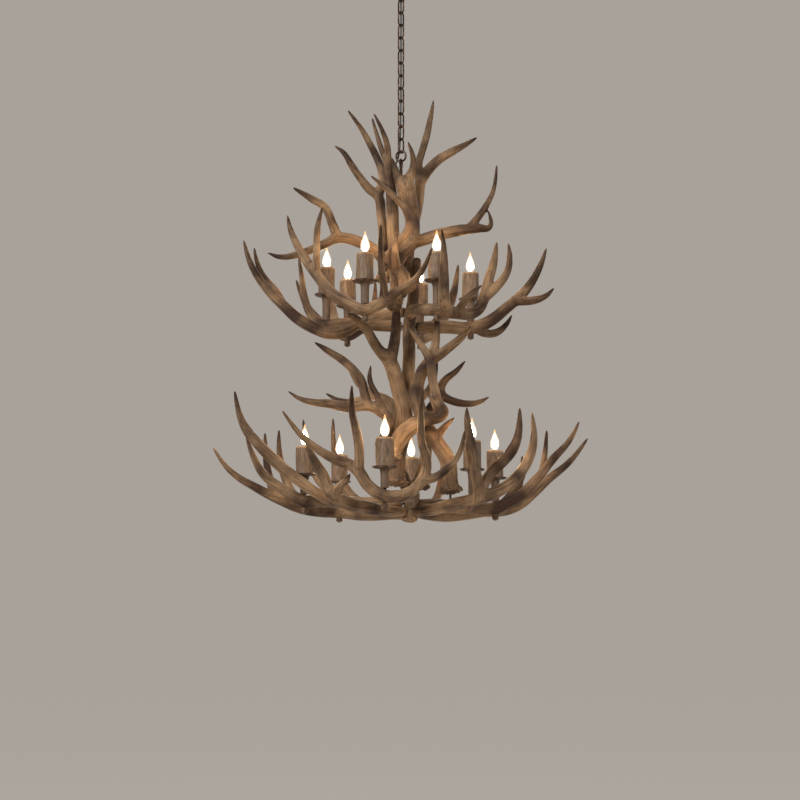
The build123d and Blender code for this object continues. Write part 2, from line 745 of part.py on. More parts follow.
# Hang ring on the last link
with BuildPart() as hang_ring:
    oval_wire(up * (ring_top - ring_height / 2), ring_way, ring_width, ring_height, ring_wire)
save(hang_ring, "hang_ring")

# Eye bolt, screwed into the palm of the front crown antler
shank_top = up * (eye_height - eye_radius)
with BuildPart() as eye_bolt:
    oval_wire(up * eye_height, eye_way, 2 * eye_radius, 2 * eye_radius, eye_wire)
    bar(shank_top, -up, eye_shank_length, eye_shank_radius, rod_sides)
save(eye_bolt, "eye_bolt")

# Supply cord, down behind the chain and into the tall crown antler
cord_points = [
    Vector(0, cord_exit, -canopy_height / 2),
    Vector(0, cord_exit, loop_height),
    Vector(0, cord_behind, loop_bottom - link_height / 2),
    Vector(0, cord_behind, eye_height + cord_leave),
    Vector(*cord_by_eye) + up * eye_height,
    Vector(*cord_hole) + up * eye_height,
]
cord_runs = [b - a for a, b in zip(cord_points, cord_points[1:])]
cord_bends = [
    cord_bend * min(a.length, b.length) / tan(radians(a.get_angle(b)) / 2)
    for a, b in zip(cord_runs, cord_runs[1:])
]
with BuildPart() as cord:
    with BuildLine() as cord_path:
        FilletPolyline(*cord_points, radius=cord_bends)
    with BuildSketch(Plane(origin=cord_points[0], x_dir=(1, 0, 0), z_dir=-up)):
        RegularPolygon(cord_radius, cord_sides)
    sweep(path=cord_path.line)
save(cord, "supply_cord")
print("cord length", sum(edge.length for edge in cord_path.edges()), "bends", cord_bends)

# Antlers
for name, strands in antlers.items():
    with BuildPart() as antler:
        grow(strands[0] if name in butted else with_burr(strands[0]), beam_sides)
        for tine in strands[1:]:
            grow(tine, tine_sides)
        for pin in pins:
            if name in (pin[0][0], pin[1][0]):
                pin_start, pin_way, pin_length = pin_line(pin)
                bore_start = pin_start - pin_way * pin_clearance
                bore_length = pin_length + 2 * pin_clearance
                bar(bore_start, pin_way, bore_length, pin_radius + pin_clearance, pin_sides, Mode.SUBTRACT)
        for light, step, _ in lights:
            if name == light:
                rod_middle, stem_lift, nut_drop = light_seat(light, step)
                rod_foot = rod_middle - up * (nut_drop + slip_fit)
                rod_bore = nut_drop + stem_lift + slip_fit
                bar(rod_foot, up, rod_bore, rod_radius + slip_fit, rod_sides, Mode.SUBTRACT)
        if name == "crown_front":
            shank_bore = eye_shank_length + slip_fit
            bar(shank_top, -up, shank_bore, eye_shank_radius + slip_fit, rod_sides, Mode.SUBTRACT)
        if name == "crown_tall":
            way_in = (cord_points[-1] - cord_points[-2]).normalized()
            cord_bore_end = cord_points[-1] + way_in * slip_fit
            cord_bore_radius = cord_radius + 2 * slip_fit
            bar(cord_bore_end, -way_in, cord_bore_length, cord_bore_radius, cord_sides, Mode.SUBTRACT)
    save(antler, f"{name}_antler")

# Steel pins between the antlers
with BuildPart() as joining_pins:
    for pin in pins:
        bar(*pin_line(pin), pin_radius, pin_sides)
save(joining_pins, "joining_pins")

# Candle lights: rod and nut, stem, drip pan, sleeve, lamp socket and bulb
light_places = []
for light, step, pan_height in lights:
    middle, stem_lift, nut_drop = light_seat(light, step)
    pan_foot = Vector(middle.X, middle.Y, pan_height + eye_height)
    light_places.append((middle + up * stem_lift, middle - up * nut_drop, pan_foot))

with BuildPart() as candle_stems:
    for stem_foot, _, pan_foot in light_places:
        stem_length = pan_foot.Z - stem_foot.Z
        column(stem_foot, [(0, stem_radius), (stem_length, stem_radius + stem_flare)], stem_sides)
        bar(stem_foot, up, stem_length, rod_radius + slip_fit, rod_sides, Mode.SUBTRACT)
save(candle_stems, "candle_stems")

with BuildPart() as rod_nuts:
    for _, nut_top, _ in light_places:
        nut_foot = nut_top - up * nut_height
        knob = [(0, nut_radius / 2), (nut_height / 3, nut_radius), (nut_height, nut_radius)]
        column(nut_foot, knob, nut_sides)
        bar(nut_top, -up, rod_end + slip_fit, rod_radius + slip_fit, rod_sides, Mode.SUBTRACT)
save(rod_nuts, "rod_nuts")

with BuildPart() as candle_rods:
    for _, nut_top, pan_foot in light_places:
        rod_foot = nut_top - up * rod_end
        bar(rod_foot, up, pan_foot.Z + pan_wall + rod_end - rod_foot.Z, rod_radius, rod_sides)
save(candle_rods, "candle_rods")

with BuildPart() as drip_pans:
    for _, _, pan_foot in light_places:
        dish_foot = pan_foot + up * pan_wall
        column(pan_foot, [(0, pan_foot_radius), (pan_depth, pan_radius)], pan_sides)
        dish = [(0, dish_radius), (pan_depth - pan_wall, pan_radius - pan_wall)]
        column(dish_foot, dish, pan_sides, Mode.SUBTRACT)
        bar(pan_foot, up, pan_wall, rod_radius + slip_fit, rod_sides, Mode.SUBTRACT)
save(drip_pans, "drip_pans")

with BuildPart() as candle_sleeves:
    for _, _, pan_foot in light_places:
        sleeve_foot = pan_foot + up * pan_wall
        sleeve = [(0, sleeve_foot_radius), (sleeve_height / 8, sleeve_radius), (sleeve_height, sleeve_radius)]
        column(sleeve_foot, sleeve, sleeve_sides)
        bar(sleeve_foot, up, sleeve_height, sleeve_bore_radius, sleeve_sides, Mode.SUBTRACT)
save(candle_sleeves, "candle_sleeves")

with BuildPart() as lamp_sockets:
    for _, _, pan_foot in light_places:
        socket_foot = pan_foot + up * pan_wall
        socket_top = socket_foot + up * socket_height
        bar(socket_foot, up, socket_height, socket_radius, socket_sides)
        bar(socket_foot, up, rod_end + slip_fit, rod_radius + slip_fit, rod_sides, Mode.SUBTRACT)
        bar(socket_top, -up, bulb_base_height, bulb_base_radius + slip_fit, bulb_sides, Mode.SUBTRACT)
save(lamp_sockets, "lamp_sockets")

with BuildPart() as bulb_bases:
    for _, _, pan_foot in light_places:
        base_foot = pan_foot + up * (pan_wall + socket_height - bulb_base_height)
        bar(base_foot, up, bulb_base_height + bulb_neck, bulb_base_radius, bulb_sides)
save(bulb_bases, "bulb_bases")

with BuildPart() as bulb_glass:
    for _, _, pan_foot in light_places:
        glass_foot = pan_foot + up * (pan_wall + socket_height + bulb_neck)
        flame = [(height * bulb_height, radius * bulb_radius) for height, radius in flame_shape]
        column(glass_foot, flame, bulb_sides)
save(bulb_glass, "bulb_glass")
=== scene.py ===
"""Looks of an antler chandelier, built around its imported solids.

Two tiers of shed antlers carry twelve candle lights and hang on a chain from a ceiling canopy.
Pieces are in metres, in the frame of the solids: z is up and the viewer stands on the -y side.
"""

from __future__ import annotations

import logging
from collections.abc import Callable
from dataclasses import dataclass
from enum import Enum
from math import pi, radians

import bmesh
import bpy
import numpy as np
from mathutils import Matrix, Vector, kdtree, noise

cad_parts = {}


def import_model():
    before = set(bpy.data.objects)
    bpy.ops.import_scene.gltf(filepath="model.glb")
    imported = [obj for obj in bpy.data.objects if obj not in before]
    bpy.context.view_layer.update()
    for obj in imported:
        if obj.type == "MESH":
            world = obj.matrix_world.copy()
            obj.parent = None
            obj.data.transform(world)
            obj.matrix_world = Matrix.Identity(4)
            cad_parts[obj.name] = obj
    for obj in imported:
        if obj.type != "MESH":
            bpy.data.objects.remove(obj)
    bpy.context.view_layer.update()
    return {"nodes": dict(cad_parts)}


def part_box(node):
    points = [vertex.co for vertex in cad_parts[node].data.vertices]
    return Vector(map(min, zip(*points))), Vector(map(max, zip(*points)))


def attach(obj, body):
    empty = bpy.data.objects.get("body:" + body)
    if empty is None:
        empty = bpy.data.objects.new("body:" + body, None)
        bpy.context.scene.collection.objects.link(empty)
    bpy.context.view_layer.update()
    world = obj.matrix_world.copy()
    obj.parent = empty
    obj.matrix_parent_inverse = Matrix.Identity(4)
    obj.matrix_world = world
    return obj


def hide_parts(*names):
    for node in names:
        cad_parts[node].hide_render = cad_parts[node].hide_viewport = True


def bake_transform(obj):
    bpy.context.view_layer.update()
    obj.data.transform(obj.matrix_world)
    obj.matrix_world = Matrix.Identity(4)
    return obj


log = logging.getLogger("chandelier")

MM = 0.001
UP = Vector((0, 0, 1))
# Level ways in which the ovals of the odd links, the even links, the ring and the eye spread
ODD_WAY = Vector((-1, 1, 0)).normalized()
EVEN_WAY = Vector((1, 1, 0)).normalized()
RING_WAY = Vector((3, -1, 0)).normalized()
EYE_WAY = Vector((1, 3, 0)).normalized()
# Underside of the lowest drip pans, from the middle of the eye
LOWER_PAN_HEIGHT = -952 * MM
# How much thicker the horn grows than its points say
BEAM_GIRTH = 1.15
TINE_GIRTH = 1.25
FIXTURE = "fixture"
CEILING = "ceiling_fitting"
WELD = 1e-6
SHARP_ANGLE = radians(42)

Strand = list[tuple[float, float, float, float]]
Profile = list[tuple[float, float]]
Outline = tuple[tuple[float, float], ...]


def linear(colour: str) -> tuple[float, float, float, float]:
    """Turn an sRGB hex colour to linear.

    Args:
        colour: The colour, as #rrggbb.

    Returns:
        Red, green and blue in linear light, and full alpha.
    """
    channels = [int(colour[start : start + 2], 16) / 255 for start in (1, 3, 5)]
    red, green, blue = [c / 12.92 if c <= 0.04045 else ((c + 0.055) / 1.055) ** 2.4 for c in channels]
    return red, green, blue, 1.0


@dataclass
class Nodes:
    """The nodes of one material or world, and short ways to add the usual ones."""

    tree: bpy.types.NodeTree

    def wire(self, node: bpy.types.Node, values: dict, links: dict) -> None:
        """Set the inputs of a node.

        Args:
            node: The node.
            values: Constant inputs, by socket name.
            links: Sources of the linked inputs, by socket name; a node stands for its first output.
        """
        sockets = {socket.name: socket for socket in node.inputs if socket.enabled}
        for name, value in values.items():
            sockets[name].default_value = value
        for name, source in links.items():
            if isinstance(source, bpy.types.Node):
                source = next(socket for socket in source.outputs if socket.enabled)
            self.tree.links.new(source, sockets[name])

    def add(self, kind: str, values: dict, links: dict, **settings) -> bpy.types.Node:
        """Add one node.

        Args:
            kind: The node's type.
            values: Constant inputs, by socket name.
            links: Sources of the linked inputs, by socket name.
            **settings: Properties of the node.

        Returns:
            The new node.
        """
        node = self.tree.nodes.new(kind)
        for name, value in settings.items():
            setattr(node, name, value)
        self.wire(node, values, links)
        return node

    def place(self) -> bpy.types.NodeSocket:
        """Return the place on the piece."""
        return self.add("ShaderNodeTexCoord", {}, {}).outputs["Object"]

    def stored(self, name: str, output: str = "Fac") -> bpy.types.NodeSocket:
        """Return an attribute of the piece, as a number or by another output of its node."""
        return self.add("ShaderNodeAttribute", {}, {}, attribute_name=name).outputs[output]

    def pattern(self, place: object, size: float, detail: float = 2.0, rough: float = 0.5) -> bpy.types.Node:
        """Add noise.

        Args:
            place: Source of its coordinates.
            size: Size of a cell in mm.
            detail: How many finer layers it has.
            rough: How strong these are.

        Returns:
            The noise.
        """
        look = {"Scale": 1 / (size * MM), "Detail": detail, "Roughness": rough}
        return self.add("ShaderNodeTexNoise", look, {"Vector": place})

    def remap(
        self, value: object, low: float = 0.0, high: float = 1.0, first: float = 0.0, last: float = 1.0
    ) -> bpy.types.Node:
        """Stretch a value between two limits.

        Args:
            value: Its source.
            low: The value that becomes first.
            high: The value that becomes last.
            first: Result at low and beyond.
            last: Result at high and beyond.

        Returns:
            The node with the result.
        """
        limits = {"From Min": low, "From Max": high, "To Min": first, "To Max": last}
        return self.add("ShaderNodeMapRange", limits, {"Value": value})

    def mix(self, factor: object, first: object, second: object) -> bpy.types.Node:
        """Blend two colours.

        Args:
            factor: Source of the share of the second.
            first: A hex colour, or a node.
            second: A hex colour, or a node.

        Returns:
            The node with the blend.
        """
        ends = {"A": first, "B": second}
        values = {name: linear(end) for name, end in ends.items() if isinstance(end, str)}
        links = {name: end for name, end in ends.items() if name not in values}
        return self.add("ShaderNodeMix", values, {"Factor": factor, **links}, data_type="RGBA")

    def bump(self, height: object, strength: float, depth: float) -> bpy.types.Node:
        """Add relief from a pattern, as deep as that many millimetres."""
        return self.add("ShaderNodeBump", {"Strength": strength, "Distance": depth * MM}, {"Height": height})


@dataclass(frozen=True)
class Finish:
    """What every finish has: the material's name and the record's slot that it stands for.

    Sizes of patterns are in mm.
    """

    name: str
    slot: str

    def material(self) -> bpy.types.Material:
        """Find the finish's material, or make it when it is first asked for.

        Returns:
            The material.
        """
        made = bpy.data.materials.get(self.name)
        if made is None:
            made = bpy.data.materials.new(self.name)
            made.use_nodes = True
            self.paint(Nodes(made.node_tree), made.node_tree.nodes["Principled BSDF"])
        return made

    def paint(self, nodes: Nodes, surface: bpy.types.Node) -> None:
        """Set the nodes of the material.

        Args:
            nodes: The material's nodes.
            surface: Its shader.
        """
        raise NotImplementedError


@dataclass(frozen=True)
class ShedAntler(Finish):
    """Shed antler, oiled: dark and light lengths of brown horn, furrows, and colour that darkens towards the
    tips.
    """

    dark: str = "#44342a"
    light: str = "#967a5d"
    furrow: str = "#2a1c13"
    tip: str = "#2e2016"
    length_size: float = 95.0
    # Real furrows are 2 to 3 mm apart; these are drawn coarser so that they show
    streak_size: float = 5.0
    shine: float = 0.06
    soak: float = 0.75
    soak_depth: float = 6.0
    soak_tint: tuple[float, float, float] = (1.0, 0.7, 0.5)

    def paint(self, nodes: Nodes, surface: bpy.types.Node) -> None:
        """Shade the horn in lengths, darken its tips and draw its furrows along the grain.

        Args:
            nodes: The material's nodes.
            surface: Its shader.
        """
        lengths = nodes.pattern(nodes.place(), self.length_size, detail=3.0)
        streaks = nodes.pattern(nodes.stored("grain", "Vector"), self.streak_size, detail=3.0)
        tone = nodes.remap(lengths, low=0.36, high=0.64)
        darkening = nodes.remap(nodes.stored("share"), low=0.5, last=0.8)
        depth = nodes.remap(streaks, low=0.58, high=0.34, last=0.55)
        tipped = nodes.mix(darkening, nodes.mix(tone, self.dark, self.light), self.tip)
        values = {
            "Specular IOR Level": self.shine,
            "Subsurface Weight": self.soak,
            "Subsurface Radius": self.soak_tint,
            "Subsurface Scale": self.soak_depth * MM,
        }
        nodes.wire(surface, values, {
            "Base Color": nodes.mix(depth, tipped, self.furrow),
            "Roughness": nodes.remap(streaks, low=0.3, high=0.7, first=0.54, last=0.38),
            "Normal": nodes.bump(streaks, strength=0.3, depth=0.9),
        })


@dataclass(frozen=True)
class RubbedGrain(Finish):
    """Carved and stained wood, or bark: an upright grain, with the top rim painted paler where the piece has
    one, a painted highlight standing in for the lamp just above it.
    """

    dark: str = "#38291f"
    light: str = "#84684c"
    # Colour of the painted highlight on the top rim, where the lamp above lights it
    rim: str = "#c39a6b"
    # Real grain is about 1 mm; it is drawn coarser so that it shows
    grain_size: float = 2.6
    grain_stretch: float = 9.0
    roughness: float = 0.62

    def paint(self, nodes: Nodes, surface: bpy.types.Node) -> None:
        """Draw the grain out along the height, and paint the top rim paler as a painted highlight from the
        lamp above.

        Args:
            nodes: The material's nodes.
            surface: Its shader.
        """
        stretch = {"Scale": (1, 1, 1 / self.grain_stretch)}
        drawn = nodes.add("ShaderNodeMapping", stretch, {"Vector": nodes.place()})
        grain = nodes.pattern(drawn, self.grain_size, detail=6.0, rough=0.66)
        streaked = nodes.mix(nodes.remap(grain, low=0.34, high=0.68), self.dark, self.light)
        # Painted highlight: the top tenth of the piece turns towards the rim colour, standing in for the
        # light of the lamp just above it
        lamp_lit_rim_share = nodes.remap(nodes.stored("share"), low=0.9, last=0.8)
        nodes.wire(surface, {"Roughness": self.roughness}, {
            "Base Color": nodes.mix(lamp_lit_rim_share, streaked, self.rim),
            "Normal": nodes.bump(grain, strength=0.8, depth=1.0),
        })


@dataclass(frozen=True)
class AgedMetal(Finish):
    """Cast or drawn metal with a patina: blotched colour, and gloss that comes and goes with it."""

    patina: str = "#2b211a"
    worn: str = "#5a4433"
    metallic: float = 0.85
    dull: float = 0.58
    bright: float = 0.36
    blotch_size: float = 14.0
    # Real casting grit is finer; it is drawn coarser so that it shows
    grit_size: float = 1.6

    def paint(self, nodes: Nodes, surface: bpy.types.Node) -> None:
        """Blotch the patina over the worn metal and roughen it with the same pattern.

        Args:
            nodes: The material's nodes.
            surface: Its shader.
        """
        place = nodes.place()
        wear = nodes.remap(nodes.pattern(place, self.blotch_size, detail=6.0, rough=0.6), low=0.42, high=0.66)
        nodes.wire(surface, {"Metallic": self.metallic}, {
            "Base Color": nodes.mix(wear, self.patina, self.worn),
            "Roughness": nodes.remap(wear, first=self.dull, last=self.bright),
            "Normal": nodes.bump(nodes.pattern(place, self.grit_size), strength=0.25, depth=0.3),
        })


@dataclass(frozen=True)
class MouldedCover(Finish):
    """Moulded plastic or phenolic: one colour, faintly mottled, with a fine moulding grain."""

    colour: str
    mottle: str
    roughness: float = 0.5
    mottle_size: float = 6.0
    # Real moulding grain is finer; it is drawn coarser so that it shows
    grain_size: float = 0.9

    def paint(self, nodes: Nodes, surface: bpy.types.Node) -> None:
        """Mottle the colour a little and give it a fine grain.

        Args:
            nodes: The material's nodes.
            surface: Its shader.
        """
        place = nodes.place()
        nodes.wire(surface, {"Roughness": self.roughness}, {
            "Base Color": nodes.mix(nodes.pattern(place, self.mottle_size), self.colour, self.mottle),
            "Normal": nodes.bump(nodes.pattern(place, self.grain_size), strength=0.2, depth=0.2),
        })


@dataclass(frozen=True)
class LitGlass(Finish):
    """Blown glass of a lit lamp, or the filament's glow in it: whiter low down, where it is hottest."""

    body: str = "#1c1510"
    hot: str = "#fff3dc"
    warm: str = "#ffbf7a"
    glow: float = 1.6
    alpha: float = 0.45
    roughness: float = 0.05
    ior: float = 1.5

    def paint(self, nodes: Nodes, surface: bpy.types.Node) -> None:
        """Let the glow turn from white to warm towards the tip.

        Args:
            nodes: The material's nodes.
            surface: Its shader.
        """
        cooling = nodes.remap(nodes.stored("share"), low=0.35, high=0.95)
        values = {
            "Base Color": linear(self.body), "Emission Strength": self.glow, "Alpha": self.alpha,
            "Roughness": self.roughness, "IOR": self.ior,
        }
        nodes.wire(surface, values, {"Emission Color": nodes.mix(cooling, self.hot, self.warm)})


@dataclass(frozen=True)
class StudioPaint(Finish):
    """Matt studio paint, pale and warm, with no shine."""

    colour: str = "#e6ddd3"

    def paint(self, nodes: Nodes, surface: bpy.types.Node) -> None:
        """Set one even matt colour."""
        matt = {"Base Color": linear(self.colour), "Roughness": 1.0, "Specular IOR Level": 0.0}
        nodes.wire(surface, matt, {})


# Antler is a dull satin that light soaks into a little; its furrows hold the stain, and its colour darkens
# towards the tips
ANTLER = ShedAntler("Oiled shed antler", "antler")
# Bark-faced sleeves are split and dry; their top rim is painted paler, a painted highlight standing in for
# the light of the lamp just above it
SLEEVE_BARK = RubbedGrain("Bark-faced wood", "bark_sleeve")
# Stub wood is turned and stained dark, so its grain shows only as faint streaks
STUB_WOOD = RubbedGrain(
    "Stained turned wood", "stem_wood", dark="#3c2c20", light="#6d533b", rim="#6d533b", grain_size=2.0
)
# Oil-rubbed bronze is nearly black, with brown where hands have rubbed it
DARK_BRONZE = AgedMetal("Oil-rubbed bronze", "dark_bronze")
# Brown bronze of the pans and nuts takes up the antlers' colour, with a dull rubbed sheen
BROWN_BRONZE = AgedMetal(
    "Brown-patinated bronze", "dark_bronze", "#493727", "#7c6048", metallic=0.45, dull=0.6, bright=0.42
)
# Zinc-plated steel is grey and even, with a soft shine
BARE_STEEL = AgedMetal(
    "Zinc-plated steel", "bare_steel", "#83807a", "#a9a69f", metallic=1.0, dull=0.46, bright=0.34
)
# Blackened steel pins are meant to vanish between the antlers
BLACK_STEEL = AgedMetal(
    "Blackened steel", "bare_steel", "#231d18", "#43382f", metallic=0.9, dull=0.6, bright=0.45
)
# Rolled brass of a lamp's screw shell, bright where it turns in the socket
LAMP_BRASS = AgedMetal(
    "Rolled brass", "bulb_brass", "#8a6a34", "#c59a4e", metallic=1.0, dull=0.42, bright=0.24
)
# Phenolic sockets are dark brown and satin
SOCKET_SHELL = MouldedCover("Moulded phenolic", "socket_shell", "#241a15", "#33251d")
# The cord's jacket is a matt brown-black
CORD_JACKET = MouldedCover("Extruded cord jacket", "cord_jacket", "#191513", "#231d19")
# The envelope of a lit lamp washes out to a warm white, and only its tip keeps some colour
FLAME_GLASS = LitGlass("Blown lamp glass", "bulb_glass")
# The filament is too bright to look at and colours what stands near it
FILAMENT_GLOW = LitGlass(
    "Glowing filament", "bulb_glass", hot="#ffd79c", warm="#ffb870", glow=250.0, alpha=1.0, roughness=0.5
)
# The floor and what shows behind the object are an even pale tone that draws no eye
STUDIO_PAINT = StudioPaint("Matt studio paint", "stage")


def put(name: str, data: bpy.types.ID | None) -> bpy.types.Object:
    """Put a new object in the scene.

    Args:
        name: Its name.
        data: Its mesh, curve, light or camera.

    Returns:
        The object, at the origin.
    """
    thing = bpy.data.objects.new(name, data)
    bpy.context.scene.collection.objects.link(thing)
    return thing


def finished_mesh(name: str, data: bpy.types.ID, *modifiers: tuple[str, dict]) -> bpy.types.Mesh:
    """Evaluate a curve or a mesh under modifiers.

    Args:
        name: Name of the result.
        data: The curve or mesh.
        *modifiers: Type and settings of each modifier, in order.

    Returns:
        The result as a mesh of its own.
    """
    carrier = put(name, data)
    for kind, settings in modifiers:
        modifier = carrier.modifiers.new(kind, kind)
        for setting, value in settings.items():
            setattr(modifier, setting, value)
    depsgraph = bpy.context.evaluated_depsgraph_get()
    mesh = bpy.data.meshes.new_from_object(carrier.evaluated_get(depsgraph))
    bpy.data.objects.remove(carrier)
    return mesh


def closed_mesh(name: str, bm: bmesh.types.BMesh) -> bpy.types.Mesh:
    """Merge the seams of a new shape, turn its faces outwards and hand it over.

    Args:
        name: Name of the mesh.
        bm: The shape, which is freed.

    Returns:
        The mesh, smooth except at sharp corners.
    """
    bmesh.ops.remove_doubles(bm, verts=bm.verts, dist=WELD)
    bmesh.ops.recalc_face_normals(bm, faces=bm.faces)
    mesh = bpy.data.meshes.new(name)
    bm.to_mesh(mesh)
    bm.free()
    mesh.shade_smooth()
    mesh.set_sharp_from_angle(angle=SHARP_ANGLE)
    return mesh


def new_curve(name: str, round_steps: int = 0) -> bpy.types.Curve:
    """Start a curve in space.

    Args:
        name: Its name.
        round_steps: Steps round its section, where it gets one.

    Returns:
        The curve, with no spline yet.
    """
    curve = bpy.data.curves.new(name, "CURVE")
    curve.dimensions = "3D"
    curve.bevel_resolution = round_steps
    curve.use_fill_caps = True
    return curve


def show(name: str, mesh: bpy.types.Mesh, finish: Finish, replaced: str) -> bpy.types.Object:
    """Put a finished mesh in the scene in place of the solid that it stands for.

    Args:
        name: Name of the piece.
        mesh: Its mesh, in place.
        finish: Its finish.
        replaced: The solid that it stands for.

    Returns:
        The piece, which rides on nothing yet.
    """
    mesh.materials.clear()
    mesh.materials.append(finish.material())
    piece = put(name, mesh)
    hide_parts(replaced)
    log.info("%s: %d faces, %s", name, len(mesh.polygons), finish.name)
    return piece


def plate(solid: bpy.types.Object, finish: Finish) -> None:
    """Give a solid that is shown as it is its plating.

    Args:
        solid: The solid.
        finish: Its finish.
    """
    for material_slot in solid.material_slots:
        material_slot.material = finish.material()
    log.info("%s: shown as it is, %s", solid.name, finish.name)


def lathe(bm: bmesh.types.BMesh, foot: Vector, profile: Profile, steps: int, ring: bool = False) -> None:
    """Spin an outline a full turn about an upright axis.

    Args:
        bm: The shape that it joins.
        foot: Point on the axis that heights are measured from.
        profile: Radius and height of each point of the outline.
        steps: Steps round the turn.
        ring: Whether the outline's end joins its start.
    """
    verts = [bm.verts.new(foot + Vector((radius, 0, height))) for radius, height in profile]
    edges = [bm.edges.new(pair) for pair in zip(verts, verts[1:] + verts[:1] * ring)]
    bmesh.ops.spin(bm, geom=verts + edges, cent=foot, axis=UP, angle=2 * pi, steps=steps, use_merge=True)


def scaled(outline: Outline, radius: float, height: float) -> Profile:
    """Return an outline of shares at a real radius and height."""
    return [(wide * radius, tall * height) for wide, tall in outline]


def vertex_places(mesh: bpy.types.Mesh) -> np.ndarray:
    """Read the places of a mesh's vertices.

    Args:
        mesh: The mesh.

    Returns:
        The places, one to a row.
    """
    places = np.empty(len(mesh.vertices) * 3, np.float32)
    mesh.vertices.foreach_get("co", places)
    return places.reshape(-1, 3)


class Base(Enum):
    """How the foot of an antler ends."""

    BURR = "shed with its flared burr"
    SAWN = "sawn square to butt against the centre antler"


@dataclass
class CentreLines:
    """Points along the middle of an antler's strands, closely spaced.

    Attributes:
        places: The points, one to a row.
        ways: The way the strand runs at each.
        runs: Distance from the strand's foot.
        shares: That distance as a share of the strand's length.
        strands: Number of the strand.
    """

    places: np.ndarray
    ways: np.ndarray
    runs: np.ndarray
    shares: np.ndarray
    strands: np.ndarray


